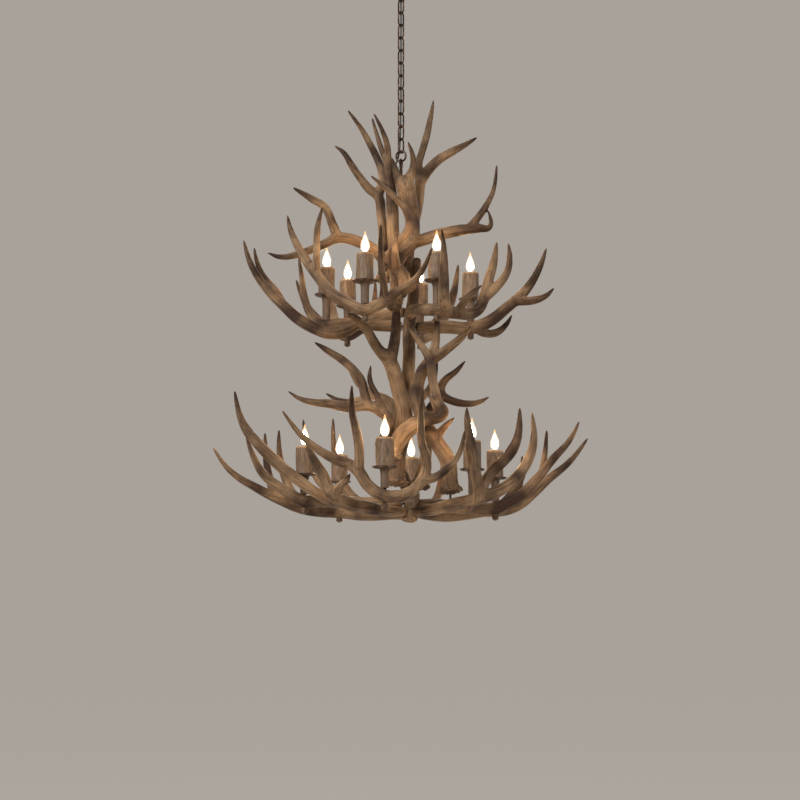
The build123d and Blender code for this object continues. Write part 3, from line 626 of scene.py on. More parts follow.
@dataclass
class Antler:
    """One antler: a beam and its tines, each grown along its own line.

    Attributes:
        name: Name of the antler.
        base: How its foot ends.
        strands: Points of the beam, then of each tine, as (x, y, z, radius) from base to tip in mm,
            with heights from the middle of the eye bolt's eye.
        burr: Distance from the foot in mm, and share of the foot's radius, along the flare.
        tip_length: How far a tip runs on past its last point, in mm.
        tip_radius: Radius of a tip's end in mm.
        tip_reach: How much of the way to a tine's tip the beam's own tip counts as.
        furrow_fade: Depth of the furrows at the foot, and how much of it is lost towards a tip.
        burr_reach: How far past the burr its pearls run out, as a share of its length.
    """

    name: str
    base: Base
    strands: list[Strand]
    burr: Outline = ((-5, 0.7), (-2, 1.25), (3, 1.56), (9, 1.48), (17, 1.14), (26, 1.02))
    tip_length: float = 5.0
    tip_radius: float = 1.2
    tip_reach: float = 0.75
    curve_steps: int = 8
    round_steps: int = 4
    voxel: float = 2.2 * MM
    smoothing: int = 18
    grain_stretch: float = 13.0
    grain_drift: tuple[float, float, float] = (0.42, 0.58, 0.7)
    furrow_width: float = 8.5 * MM
    furrow_depth: float = 0.7 * MM
    furrow_fade: tuple[float, float] = (1.15, 0.85)
    pearl_size: float = 6.5 * MM
    pearl_height: float = 3.4 * MM
    pearled: float = 110 * MM
    pearled_share: float = 0.4
    burr_reach: float = 1.6
    seam_spread: int = 6
    seam_rounds: int = 14

    def build(self, eye_height: float) -> None:
        """Grow the antler, carve its furrows and hang it on the fixture.

        Args:
            eye_height: Height of the middle of the eye.
        """
        curve = self.route(eye_height)
        lines = self.centre_lines(curve)
        curve.bevel_depth = MM
        tubes = finished_mesh(self.name, curve)
        remesh = ("REMESH", {"mode": "VOXEL", "voxel_size": self.voxel, "use_smooth_shade": True})
        mesh = finished_mesh(self.name, tubes, remesh, ("SMOOTH", {"iterations": self.smoothing}))
        self.carve(mesh, lines)
        mesh.shade_smooth()
        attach(show(f"{self.name}_horn", mesh, ANTLER, f"{self.name}_antler"), FIXTURE)

    def route(self, eye_height: float) -> bpy.types.Curve:
        """Lay a smooth curve through the points of each strand.

        Args:
            eye_height: Height of the middle of the eye.

        Returns:
            The curve, with each point's radius in mm.
        """
        curve = new_curve(self.name, self.round_steps)
        curve.resolution_u = self.curve_steps
        for number, strand in enumerate(self.strands):
            girth = TINE_GIRTH if number else BEAM_GIRTH
            knots = [(Vector(point[:3]), point[3] * girth) for point in strand]
            (foot, radius), (after, _) = knots[:2]
            way = (after - foot).normalized()
            if number == 0 and self.base is Base.BURR:
                knots[:1] = [(foot + way * reach, radius * flare) for reach, flare in self.burr]
            (before, _), (end, _) = knots[-2:]
            knots.append((end + (end - before).normalized() * self.tip_length, self.tip_radius))
            spline = curve.splines.new("BEZIER")
            spline.bezier_points.add(len(knots) - 1)
            for knot, (place, radius) in zip(spline.bezier_points, knots):
                knot.co = place * MM + UP * eye_height
                knot.radius = radius
                knot.handle_left_type = "AUTO"
                knot.handle_right_type = "AUTO"
        return curve

    def centre_lines(self, curve: bpy.types.Curve) -> CentreLines:
        """Read the points along the strands from the bare curve.

        Args:
            curve: The curve, with no bevel.

        Returns:
            The points and what is known of each.
        """
        places = vertex_places(finished_mesh(self.name, curve))
        counts = [(len(spline.bezier_points) - 1) * self.curve_steps + 1 for spline in curve.splines]
        ways, runs, shares = [], [], []
        for line in np.split(places, np.cumsum(counts)[:-1]):
            way = np.gradient(line, axis=0)
            ways.append(way / np.linalg.norm(way, axis=1, keepdims=True))
            steps = np.linalg.norm(np.diff(line, axis=0), axis=1)
            runs.append(np.concatenate(([0.0], np.cumsum(steps))))
            shares.append(runs[-1] / runs[-1][-1])
        strands = np.repeat(np.arange(len(counts)), counts)
        return CentreLines(places, *map(np.concatenate, (ways, runs, shares)), strands)

    def carve(self, mesh: bpy.types.Mesh, lines: CentreLines) -> None:
        """Work out the grain round the strands, cut its furrows and raise the pearls of the burr.

        Args:
            mesh: The grown antler.
            lines: Its centre lines.
        """
        places = vertex_places(mesh)
        tree = kdtree.KDTree(len(lines.places))
        for number, place in enumerate(lines.places):
            tree.insert(place, number)
        tree.balance()
        nearest = np.array([tree.find(place)[1] for place in places])
        strands = lines.strands[nearest]
        offset = places - lines.places[nearest]
        way = lines.ways[nearest]
        ahead = (offset * way).sum(1)
        run = lines.runs[nearest] + ahead
        drift = np.array(self.grain_drift) / self.grain_stretch
        grain = offset - way * ahead[:, None] + run[:, None] * drift
        self.soften(mesh, strands, grain)
        shares = np.where(strands == 0, self.tip_reach, 1.0) * lines.shares[nearest]
        furrows = np.array([noise.noise(Vector(point)) for point in grain / self.furrow_width])
        full, lost = self.furrow_fade
        raised = furrows * self.furrow_depth * (full - lost * shares)
        if self.base is Base.BURR:
            pearls = np.array([noise.noise(Vector(point)) for point in places / self.pearl_size])
            rough = np.clip(self.burr_reach - run / (self.burr[-1][0] * MM), 0, 1)
            rough += self.pearled_share * np.clip(1 - run / self.pearled, 0, 1)
            raised += pearls * self.pearl_height * rough * (strands == 0)
        normals = np.empty(places.size, np.float32)
        mesh.vertices.foreach_get("normal", normals)
        places += normals.reshape(-1, 3) * raised[:, None]
        mesh.vertices.foreach_set("co", places.ravel())
        share = mesh.attributes.new("share", "FLOAT", "POINT")
        share.data.foreach_set("value", shares.astype(np.float32))
        fibres = mesh.attributes.new("grain", "FLOAT_VECTOR", "POINT")
        fibres.data.foreach_set("vector", grain.astype(np.float32).ravel())
        mesh.update()

    def soften(self, mesh: bpy.types.Mesh, strands: np.ndarray, grain: np.ndarray) -> None:
        """Even out the grain where two strands meet, so that it flows from one to the other.

        Args:
            mesh: The grown antler.
            strands: Nearest strand of each vertex.
            grain: Grain at each vertex, changed in place.
        """
        ends = np.empty(len(mesh.edges) * 2, np.int32)
        mesh.edges.foreach_get("vertices", ends)
        first, second = ends.reshape(-1, 2).T
        seam = np.zeros(len(grain), bool)
        crossing = strands[first] != strands[second]
        for _ in range(self.seam_spread):
            seam[first[crossing]] = True
            seam[second[crossing]] = True
            crossing = seam[first] | seam[second]
        neighbours = np.bincount(ends, minlength=len(grain))[:, None]
        for _ in range(self.seam_rounds):
            total = np.zeros_like(grain)
            np.add.at(total, first, grain[second])
            np.add.at(total, second, grain[first])
            grain[seam] = (total / neighbours)[seam]


ANTLERS = [
    Antler("crown_front", Base.BURR, [
        [(-12, -46, -420, 17), (-14, -42, -345, 16), (-2, -36, -298, 17), (32, -24, -255, 18),
         (38, -10, -210, 17), (32, -2, -155, 19), (20, 0, -105, 24), (14, 0, -74, 26), (8, 0, -44, 20)],
        [(6, 0, -84, 15), (-8, 0, -50, 12), (-17, -2, -20, 8), (-27, -4, 12, 3)],
        [(14, 0, -84, 16), (26, 0, -46, 13), (37, -6, -14, 9), (36, -18, 14, 7), (22, -30, 54, 3)],
        [(32, -24, -255, 15), (72, -34, -245, 15), (117, -42, -232, 15), (177, -52, -222, 14),
         (233, -60, -218, 11), (262, -63, -216, 7), (260, -66, -170, 3)],
        [(200, -56, -220, 11), (233, -62, -180, 9), (256, -68, -145, 8), (274, -74, -106, 6),
         (284, -80, -34, 3)],
    ]),
    Antler("crown_left", Base.BURR, [
        [(19, -91, -410, 17), (5, -80, -362, 16), (-20, -78, -338, 15), (-47, -80, -322, 15),
         (-78, -80, -290, 15), (-116, -82, -268, 15), (-186, -86, -254, 14), (-224, -88, -272, 12),
         (-304, -92, -305, 10), (-357, -96, -313, 7), (-389, -98, -302, 3)],
        [(-186, -86, -254, 13), (-202, -88, -212, 11), (-226, -92, -162, 10), (-264, -96, -138, 9),
         (-316, -100, -107, 3)],
        [(-47, -80, -322, 13), (-8, -86, -270, 11), (22, -88, -222, 10), (16, -88, -175, 9),
         (-14, -84, -135, 8), (-58, -78, -90, 6), (-87, -74, -64, 3)],
        [(-10, -79, -348, 11), (-16, -108, -326, 10), (-17, -118, -290, 8), (-12, -120, -250, 3)],
    ]),
    Antler("crown_tall", Base.BURR, [
        [(-14, 24, -340, 18), (-20, 26, -270, 17), (-24, 25, -195, 17), (-26, 23, -140, 17),
         (-30, 22, -84, 15), (-37, 24, -30, 12), (-40, 28, 15, 11), (-42, 24, 62, 9), (-54, 20, 100, 7),
         (-81, 14, 156, 3)],
        [(-40, 28, 10, 10), (-54, 46, 42, 8), (-66, 56, 80, 7), (-88, 64, 158, 3)],
    ]),
    Antler("crown_back_left", Base.BURR, [
        [(-50, 66, -350, 17), (-53, 62, -265, 15), (-55, 58, -200, 13), (-60, 60, -145, 13),
         (-70, 68, -85, 14), (-96, 74, -62, 13), (-124, 78, -26, 11), (-151, 80, 15, 10),
         (-178, 82, 58, 7), (-202, 84, 77, 3)],
        [(-70, 68, -85, 13), (-56, 72, -40, 12), (-58, 78, -4, 11), (-72, 84, 36, 10), (-94, 86, 82, 9),
         (-120, 88, 130, 7), (-162, 90, 191, 3)],
    ]),
    Antler("crown_back_right", Base.BURR, [
        [(16, 71, -345, 17), (25, 60, -255, 15), (42, 56, -170, 14), (54, 58, -100, 14),
         (58, 60, -45, 14), (54, 60, 14, 11), (64, 60, 50, 10), (78, 62, 100, 10), (90, 62, 155, 8),
         (100, 62, 215, 3)],
        [(58, 60, -45, 14), (84, 60, -5, 13), (114, 60, 26, 12), (152, 60, 50, 11), (192, 60, 72, 8),
         (231, 60, 96, 3)],
    ]),
    Antler("upper_front_left", Base.BURR, [
        [(-18, -98, -448, 17), (-46, -155, -458, 16), (-75, -188, -480, 16), (-103, -200, -492, 16),
         (-150, -190, -472, 15), (-194, -174, -442, 15), (-240, -150, -384, 14), (-285, -128, -316, 12),
         (-322, -112, -240, 8), (-333, -106, -193, 3)],
        [(-246, -147, -375, 11), (-244, -160, -320, 9), (-242, -164, -246, 8), (-229, -166, -186, 3)],
        [(-50, -158, -460, 12), (-49, -190, -417, 9), (-57, -225, -364, 8), (-58, -260, -310, 7),
         (-57, -290, -268, 3)],
        [(-46, -155, -458, 12), (-5, -190, -433, 10), (32, -225, -416, 9), (61, -262, -388, 7),
         (86, -300, -336, 3)],
    ]),
    Antler("upper_left", Base.SAWN, [
        [(2, 15, -500, 13), (-40, 6, -500, 16), (-130, -6, -496, 16), (-190, -6, -496, 15),
         (-242, -3, -495, 15), (-270, 3, -464, 12), (-288, 6, -415, 10), (-298, 10, -345, 7),
         (-307, 14, -287, 3)],
        [(-130, -6, -496, 14), (-165, -28, -522, 15), (-212, -40, -530, 15), (-258, -42, -514, 15),
         (-304, -40, -487, 14), (-344, -36, -450, 13), (-395, -30, -398, 11), (-447, -24, -318, 8),
         (-469, -20, -248, 3)],
        [(-344, -36, -450, 11), (-372, -8, -400, 10), (-412, 8, -348, 8), (-434, 18, -298, 6),
         (-442, 24, -260, 3)],
    ]),
    Antler("upper_front_right", Base.SAWN, [
        [(27, -5, -470, 13), (28, -44, -470, 16), (38, -104, -475, 16), (70, -165, -484, 16),
         (102, -208, -494, 16), (150, -200, -500, 16), (212, -166, -490, 16), (238, -148, -450, 15),
         (254, -138, -390, 13), (268, -132, -345, 11), (279, -128, -278, 3)],
        [(128, -206, -498, 14), (121, -260, -478, 14), (120, -282, -424, 12), (120, -305, -375, 10),
         (118, -328, -328, 6), (113, -345, -295, 3)],
        [(238, -148, -450, 12), (284, -142, -404, 11), (309, -136, -364, 9), (316, -132, -318, 7),
         (313, -130, -284, 3)],
        [(160, -196, -500, 11), (184, -220, -466, 9), (204, -226, -446, 7), (227, -230, -428, 3)],
    ]),
    Antler("upper_right", Base.SAWN, [
        [(46, 18, -500, 13), (82, 28, -500, 17), (140, 46, -496, 18), (210, 60, -496, 18),
         (260, 56, -480, 17), (320, 42, -436, 15), (372, 32, -390, 13), (416, 24, -320, 9),
         (437, 20, -262, 3)],
        [(340, 38, -418, 12), (400, 12, -420, 10), (434, 4, -408, 7), (455, 0, -388, 3)],
        [(222, 60, -494, 12), (256, 86, -507, 11), (290, 90, -504, 10), (320, 92, -479, 7),
         (336, 94, -452, 3)],
    ]),
    Antler("upper_back_left", Base.SAWN, [
        [(13, 36, -452, 13), (-36, 66, -454, 17), (-118, 122, -480, 18), (-165, 165, -498, 18),
         (-196, 220, -471, 17), (-217, 295, -406, 15), (-231, 365, -312, 11), (-237, 415, -209, 3)],
        [(-190, 210, -478, 14), (-251, 255, -441, 12), (-303, 295, -373, 9), (-335, 325, -293, 3)],
        [(-118, 122, -480, 13), (-88, 180, -461, 11), (-83, 240, -390, 9), (-81, 280, -309, 3)],
    ]),
    Antler("upper_back_right", Base.SAWN, [
        [(23, 39, -500, 13), (28, 80, -498, 17), (42, 150, -492, 18), (60, 220, -498, 18),
         (96, 282, -472, 17), (141, 345, -404, 15), (173, 400, -312, 11), (188, 440, -215, 3)],
        [(88, 272, -480, 14), (58, 340, -436, 12), (42, 395, -361, 9), (35, 435, -281, 3)],
        [(44, 162, -492, 13), (100, 184, -462, 11), (130, 204, -400, 9), (138, 210, -330, 3)],
    ]),
    Antler("middle_fork", Base.BURR, [
        [(-14, -62, -978, 20), (-6, -57, -890, 19), (4, -52, -835, 20), (10, -46, -760, 21),
         (-3, -42, -714, 20), (-18, -46, -655, 20), (-36, -52, -612, 19), (-66, -74, -584, 14),
         (-106, -110, -524, 12), (-138, -146, -500, 9), (-152, -162, -496, 4)],
        [(-32, -52, -620, 15), (-18, -58, -552, 13), (-14, -64, -480, 11), (-12, -66, -440, 4)],
    ]),
    Antler("middle_front", Base.BURR, [
        [(-30, -146, -905, 19), (-4, -148, -856, 22), (26, -152, -823, 22), (66, -154, -800, 18),
         (120, -157, -784, 14), (106, -154, -752, 12), (95, -142, -708, 12), (88, -132, -665, 12),
         (83, -128, -627, 12), (67, -114, -592, 10), (23, -96, -526, 3)],
        [(108, -157, -786, 10), (92, -164, -752, 7), (76, -168, -728, 3)],
    ]),
    Antler("middle_right", Base.BURR, [
        [(143, -103, -1004, 20), (134, -112, -915, 21), (108, -112, -869, 20), (79, -108, -825, 19),
         (56, -98, -773, 18), (48, -88, -694, 17), (76, -90, -632, 16), (122, -98, -597, 13),
         (176, -124, -556, 10), (200, -142, -530, 4)],
        [(76, -90, -632, 13), (98, -92, -580, 11), (104, -96, -520, 8), (106, -100, -460, 3)],
        [(98, -111, -852, 11), (128, -114, -814, 8), (151, -116, -793, 3)],
    ]),
    Antler("centre", Base.BURR, [
        [(25, 6, -1078, 14), (25, 6, -1008, 17), (-14, 8, -895, 18), (-6, 3, -800, 18),
         (14, 0, -710, 17), (24, 8, -600, 17), (24, 16, -500, 17), (36, 24, -420, 16),
         (42, 28, -350, 15), (48, 30, -290, 12)],
    ]),
    Antler("middle_left", Base.BURR, [
        [(-48, -98, -872, 17), (-38, -104, -826, 15), (-38, -102, -792, 15), (-58, -98, -770, 15),
         (-91, -94, -754, 14), (-156, -92, -756, 14), (-206, -90, -747, 12), (-260, -88, -741, 9),
         (-298, -86, -729, 6), (-325, -84, -711, 3)],
        [(-95, -94, -754, 12), (-106, -92, -717, 11), (-114, -90, -682, 11), (-134, -88, -653, 11),
         (-168, -86, -620, 10), (-215, -84, -589, 8), (-250, -82, -566, 3)],
        [(-50, -98, -768, 10), (-68, -104, -728, 8), (-90, -106, -680, 7), (-88, -106, -640, 3)],
    ]),
    Antler("middle_back_right", Base.BURR, [
        [(54, -34, -985, 17), (72, -44, -895, 15), (74, -58, -810, 15), (88, -52, -756, 14),
         (116, -46, -715, 13), (118, -44, -690, 11), (132, -44, -668, 10), (160, -46, -646, 8),
         (187, -48, -616, 3)],
        [(116, -46, -715, 11), (145, -48, -731, 10), (190, -50, -741, 9), (226, -52, -737, 7),
         (255, -54, -723, 3)],
    ]),
    Antler("middle_back", Base.BURR, [
        [(-42, 54, -900, 17), (-34, 54, -830, 17), (-20, 60, -770, 17), (-36, 84, -722, 16),
         (-84, 122, -690, 13), (-130, 158, -650, 10), (-166, 186, -586, 3)],
        [(-20, 60, -770, 14), (20, 90, -730, 13), (62, 124, -700, 11), (96, 160, -650, 9),
         (112, 182, -580, 3)],
        [(-84, 122, -690, 11), (-130, 150, -704, 9), (-186, 186, -700, 7), (-230, 210, -676, 3)],
    ]),
    Antler("lower_front", Base.SAWN, [
        [(27, -17, -1030, 13), (32, -60, -1027, 16), (34, -160, -1012, 16), (22, -222, -1020, 16),
         (-4, -268, -1028, 16), (-45, -280, -1028, 16), (-90, -278, -1000, 15), (-116, -274, -962, 15),
         (-140, -274, -942, 14), (-179, -285, -928, 13), (-218, -305, -909, 11), (-273, -335, -866, 8),
         (-321, -365, -805, 3)],
        [(-116, -274, -962, 12), (-116, -305, -893, 11), (-124, -335, -847, 10), (-133, -365, -807, 8),
         (-133, -405, -742, 3)],
        [(-4, -268, -1028, 13), (36, -272, -1008, 13), (62, -275, -975, 13), (70, -290, -931, 11),
         (57, -312, -884, 10), (54, -340, -838, 9), (55, -372, -788, 7), (59, -402, -748, 3)],
        [(54, -274, -986, 11), (92, -275, -977, 10), (127, -285, -953, 9), (158, -300, -916, 7),
         (174, -320, -854, 3)],
    ]),
    Antler("lower_left", Base.SAWN, [
        [(2, 4, -1030, 13), (-40, -8, -1030, 16), (-125, -30, -1030, 16), (-190, -40, -1026, 16),
         (-245, -46, -1026, 16), (-281, -47, -1026, 16), (-320, -46, -1006, 15), (-360, -44, -980, 13),
         (-398, -42, -950, 12), (-426, -40, -905, 9), (-452, -36, -838, 3)],
        [(-190, -40, -1026, 14), (-228, -90, -1014, 13), (-270, -108, -988, 13), (-335, -98, -939, 14),
         (-378, -88, -899, 14), (-414, -79, -862, 13), (-446, -72, -824, 12), (-469, -66, -778, 8),
         (-485, -62, -708, 3)],
    ]),
    Antler("lower_back_left", Base.SAWN, [
        [(8, 23, -1054, 11), (-34, 64, -1056, 16), (-110, 140, -1052, 18), (-189, 213, -1040, 18),
         (-255, 196, -1038, 17), (-308, 168, -1030, 16), (-352, 142, -1014, 15), (-432, 116, -976, 12),
         (-516, 100, -922, 8), (-563, 92, -858, 3)],
        [(-300, 172, -1032, 12), (-346, 205, -959, 11), (-374, 240, -876, 9), (-382, 275, -783, 3)],
        [(-380, 133, -1002, 11), (-402, 148, -930, 10), (-412, 155, -866, 8), (-415, 158, -806, 3)],
    ]),
    Antler("lower_back", Base.SAWN, [
        [(23, 29, -1030, 13), (26, 80, -1030, 17), (30, 180, -1036, 18), (32, 283, -1038, 18),
         (-40, 326, -1036, 18), (-120, 345, -1011, 16), (-182, 370, -947, 14), (-212, 400, -842, 10),
         (-219, 420, -728, 3)],
        [(-110, 341, -1016, 13), (-212, 385, -975, 12), (-284, 430, -893, 9), (-318, 470, -726, 3)],
        [(32, 270, -1038, 13), (100, 345, -1009, 12), (129, 400, -926, 9), (139, 445, -820, 3)],
    ]),
    Antler("lower_front_left", Base.SAWN, [
        [(9, -11, -1054, 11), (-36, -62, -1056, 15), (-104, -150, -1050, 17), (-150, -200, -1043, 17),
         (-192, -234, -1020, 16), (-218, -240, -964, 13), (-244, -242, -920, 10), (-264, -242, -878, 3)],
        [(-190, -232, -1022, 12), (-168, -246, -996, 10), (-150, -250, -980, 7), (-142, -250, -966, 3)],
    ]),
    Antler("lower_front_right", Base.SAWN, [
        [(42, -11, -1054, 11), (80, -66, -1054, 15), (150, -155, -1042, 16), (200, -203, -1034, 16),
         (250, -192, -1018, 16), (292, -174, -996, 15), (332, -158, -960, 14), (363, -150, -913, 13),
         (378, -148, -860, 10), (375, -146, -783, 3)],
        [(225, -198, -1026, 13), (238, -160, -980, 13), (262, -150, -946, 13), (290, -146, -920, 13),
         (316, -142, -888, 13), (334, -140, -846, 10), (340, -138, -768, 3)],
        [(214, -202, -1030, 13), (214, -258, -1000, 13), (204, -266, -955, 13), (198, -266, -912, 13),
         (190, -264, -860, 11), (184, -262, -815, 8), (183, -260, -782, 3)],
    ]),
    Antler("lower_right", Base.SAWN, [
        [(48, 10, -1030, 13), (90, 24, -1032, 17), (210, 66, -1038, 17), (281, 80, -1038, 17),
         (322, 72, -1020, 16), (362, 62, -996, 15), (402, 55, -955, 13), (452, 50, -894, 11),
         (502, 48, -838, 8), (530, 46, -784, 3)],
        [(300, 76, -1030, 11), (345, 100, -975, 10), (372, 108, -920, 7), (384, 112, -860, 3)],
    ]),
    Antler("lower_back_right", Base.SAWN, [
        [(40, 25, -1054, 11), (68, 66, -1056, 15), (138, 132, -1058, 16), (202, 142, -1052, 15),
         (252, 148, -1044, 15), (302, 150, -1042, 15), (354, 146, -1026, 14), (400, 138, -990, 13),
         (442, 132, -950, 12), (508, 127, -896, 9), (564, 122, -826, 3)],
        [(400, 138, -990, 10), (432, 168, -910, 9), (447, 180, -795, 3)],
        [(340, 147, -1030, 10), (365, 205, -964, 8), (377, 260, -866, 3)],
    ]),
]


@dataclass
class Stand:
    """Where one solid of a node stands: the foot of its upright axis, its height and its largest radius."""

    foot: Vector
    height: float
    radius: float


def stands(solid: bpy.types.Object) -> list[Stand]:
    """Find the separate solids of one node.

    Args:
        solid: The node's object.

    Returns:
        Where each stands, in the same order for every node of the candle lights.
    """
    bm = bmesh.new()
    bm.from_mesh(solid.data)
    bmesh.ops.remove_doubles(bm, verts=bm.verts, dist=WELD)
    waiting = set(bm.verts)
    found = []
    while waiting:
        island = [waiting.pop()]
        for vert in island:
            linked = {edge.other_vert(vert) for edge in vert.link_edges} & waiting
            waiting -= linked
            island += linked
        places = np.array([vert.co for vert in island])
        low, high = places[:, 2].min(), places[:, 2].max()
        axis = places[:, :2].mean(0)
        radius = np.linalg.norm(places[:, :2] - axis, axis=1).max()
        found.append(Stand(Vector((*axis, low)), high - low, radius))
    bm.free()
    return sorted(found, key=lambda stand: (round(stand.foot.x, 2), round(stand.foot.y, 2)))


@dataclass
class CandleLights:
    """The twelve candle lights: stub, drip pan, bark sleeve, socket and flame-tip lamp, with the nut below.

    The flame and the knob are outlines in shares of the solid's own radius and height. The other profiles
    are drawn from its foot up, out of such shares and of the sizes named here.
    """

    round_steps: int = 40
    sleeve_wall: float = 6.0 * MM
    sleeve_flare: float = 7.0 * MM
    sleeve_rings: int = 18
    bark_depth: float = 2.0 * MM
    bark_width: float = 9.0 * MM
    bark_stretch: float = 7.0
    bark_cut: float = 0.3
    rim_raggedness: float = 1.6 * MM
    rim_cut: float = 0.5
    sink: float = 7.0 * MM
    pan_wall: float = 1.6 * MM
    pan_step: float = 0.5 * MM
    base_radius: float = 7.0 * MM
    thread_start: float = 3.0 * MM
    thread_pitch: float = 3.2 * MM
    thread_depth: float = 0.7 * MM
    threaded_share: float = 0.7
    glow_size: float = 0.7
    glow_lift: float = 0.07
    flame: Outline = (
        (0.0, 0.0), (0.54, 0.0), (0.59, 0.035), (0.76, 0.085), (0.92, 0.155), (0.995, 0.24), (1.0, 0.3),
        (0.96, 0.38), (0.86, 0.47), (0.7, 0.57), (0.52, 0.67), (0.36, 0.76), (0.24, 0.85), (0.15, 0.925),
        (0.085, 0.975), (0.0, 1.0),
    )
    knob: Outline = (
        (0.0, 0.0), (0.22, 0.01), (0.4, 0.05), (0.52, 0.14), (0.6, 0.24), (0.86, 0.32), (0.97, 0.42),
        (1.0, 0.54), (0.97, 0.68), (0.88, 0.8), (0.8, 0.86), (0.94, 0.9),
    )

    def build(self, solids: dict[str, bpy.types.Object]) -> None:
        """Build every group of like pieces.

        Args:
            solids: The solids, by name.
        """
        for name, make, finish, solid in (
            ("candle_stubs", self.stub, STUB_WOOD, "candle_stems"),
            ("finial_nuts", self.nut, BROWN_BRONZE, "rod_nuts"),
            ("saucer_pans", self.pan, BROWN_BRONZE, "drip_pans"),
            ("bark_sleeves", self.sleeve, SLEEVE_BARK, "candle_sleeves"),
            ("socket_cups", self.socket, SOCKET_SHELL, "lamp_sockets"),
            ("screw_shells", self.screw_shell, LAMP_BRASS, "bulb_bases"),
            ("flame_glass", self.glass, FLAME_GLASS, "bulb_glass"),
            ("filament_glow", self.glow, FILAMENT_GLOW, "bulb_glass"),
        ):
            self.dress(name, make, finish, solids[solid])

    def dress(
        self, name: str, make: Callable[[bmesh.types.BMesh, Stand], None], finish: Finish,
        solid: bpy.types.Object,
    ) -> None:
        """Make one piece for each solid of a node, as one mesh that hangs on the fixture.

        Args:
            name: Name of the group.
            make: Method that adds one piece to a shape.
            finish: The finish of the group.
            solid: The node's object.
        """
        bm = bmesh.new()
        heights = bm.verts.layers.float.new("share")
        for stand in stands(solid):
            older = set(bm.verts)
            make(bm, stand)
            for vert in set(bm.verts) - older:
                vert[heights] = (vert.co.z - stand.foot.z) / stand.height
        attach(show(name, closed_mesh(name, bm), finish, solid.name), FIXTURE)

    def stub(self, bm: bmesh.types.BMesh, stand: Stand) -> None:
        """Turn a stub that stands in the antler and swells under the pan.

        Args:
            bm: The shape that it joins.
            stand: Where it stands.
        """
        waist = stand.radius * 0.84
        profile = [(0, -self.sink), (waist * 0.95, -self.sink), (waist, 0)]
        profile += [(waist, stand.height * 0.55), (stand.radius * 0.9, stand.height * 0.8)]
        profile += [(stand.radius, stand.height * 0.93), (stand.radius, stand.height), (0, stand.height)]
        lathe(bm, stand.foot, profile, self.round_steps)

    def nut(self, bm: bmesh.types.BMesh, stand: Stand) -> None:
        """Turn a finial nut that closes up against the antler.

        Args:
            bm: The shape that it joins.
            stand: Where it stands.
        """
        profile = scaled(self.knob, stand.radius, stand.height)
        tall = stand.height + self.sink
        lathe(bm, stand.foot, profile + [(profile[-1][0], tall), (0, tall)], self.round_steps)

    def pan(self, bm: bmesh.types.BMesh, stand: Stand) -> None:
        """Spin a saucer with a flat floor and a rolled rim.

        Args:
            bm: The shape that it joins.
            stand: Where it stands.
        """
        floor = stand.radius - stand.height
        roll = self.pan_wall * 0.9
        top = stand.height - roll
        inside = self.pan_step + self.pan_wall
        profile = [(0, 0), (floor * 0.4, 0), (floor * 0.46, self.pan_step), (floor, self.pan_step)]
        profile += [(floor + stand.height * 0.55, stand.height * 0.35)]
        profile += [(stand.radius - 2 * roll, top - roll)]
        profile += [(stand.radius - roll * 0.4, top - roll * 0.5), (stand.radius, top)]
        profile += [(stand.radius - roll * 0.4, stand.height - roll * 0.3)]
        profile += [(stand.radius - roll, stand.height), (stand.radius - 2 * roll, top)]
        profile += [(floor + stand.height * 0.4, stand.height * 0.6), (floor, inside), (0, inside)]
        lathe(bm, stand.foot, profile, self.round_steps)

    def sleeve(self, bm: bmesh.types.BMesh, stand: Stand) -> None:
        """Spin a hollow sleeve, split its outside into upright furrows and leave its rim ragged.

        Args:
            bm: The shape that it joins.
            stand: Where it stands.
        """
        older = set(bm.verts)
        body = stand.radius - 1.5 * MM
        bore = body - self.sleeve_wall
        rise = stand.height - 2 * MM
        flare = self.sleeve_flare
        profile = [(bore, 0), (stand.radius, 0), (stand.radius, 3 * MM), (body + 0.5 * MM, flare)]
        rings = range(1, self.sleeve_rings + 1)
        profile += [(body, flare + (rise - flare) * ring / self.sleeve_rings) for ring in rings]
        profile += [(body - 1.5 * MM, stand.height), (bore + 1.2 * MM, stand.height), (bore, rise)]
        profile += [(bore, stand.height * 0.5)]
        lathe(bm, stand.foot, profile, self.round_steps * 2, ring=True)
        for vert in set(bm.verts) - older:
            around = vert.co - stand.foot
            out = Vector((around.x, around.y, 0))
            grain = Vector((vert.co.x, vert.co.y, vert.co.z / self.bark_stretch)) / self.bark_width
            if out.length > bore + 2 * MM and around.z > 1 * MM:
                vert.co += out.normalized() * (noise.noise(grain) - self.bark_cut) * self.bark_depth
            if around.z > rise - WELD:
                vert.co.z += (noise.noise(vert.co / self.bark_width) - self.rim_cut) * self.rim_raggedness

    def socket(self, bm: bmesh.types.BMesh, stand: Stand) -> None:
        """Spin a socket with a shoulder and an open mouth.

        Args:
            bm: The shape that it joins.
            stand: Where it stands.
        """
        mouth = self.base_radius + 0.4 * MM
        deep = stand.height * 0.7
        neck = stand.radius * 0.82
        edge = stand.height - 1 * MM
        profile = [(0, 0), (stand.radius, 0), (stand.radius, stand.height * 0.62)]
        profile += [(neck, stand.height * 0.68), (neck, edge), (neck - 1 * MM, stand.height)]
        profile += [(mouth + 1 * MM, stand.height), (mouth, edge), (mouth, deep), (0, deep)]
        lathe(bm, stand.foot, profile, self.round_steps)

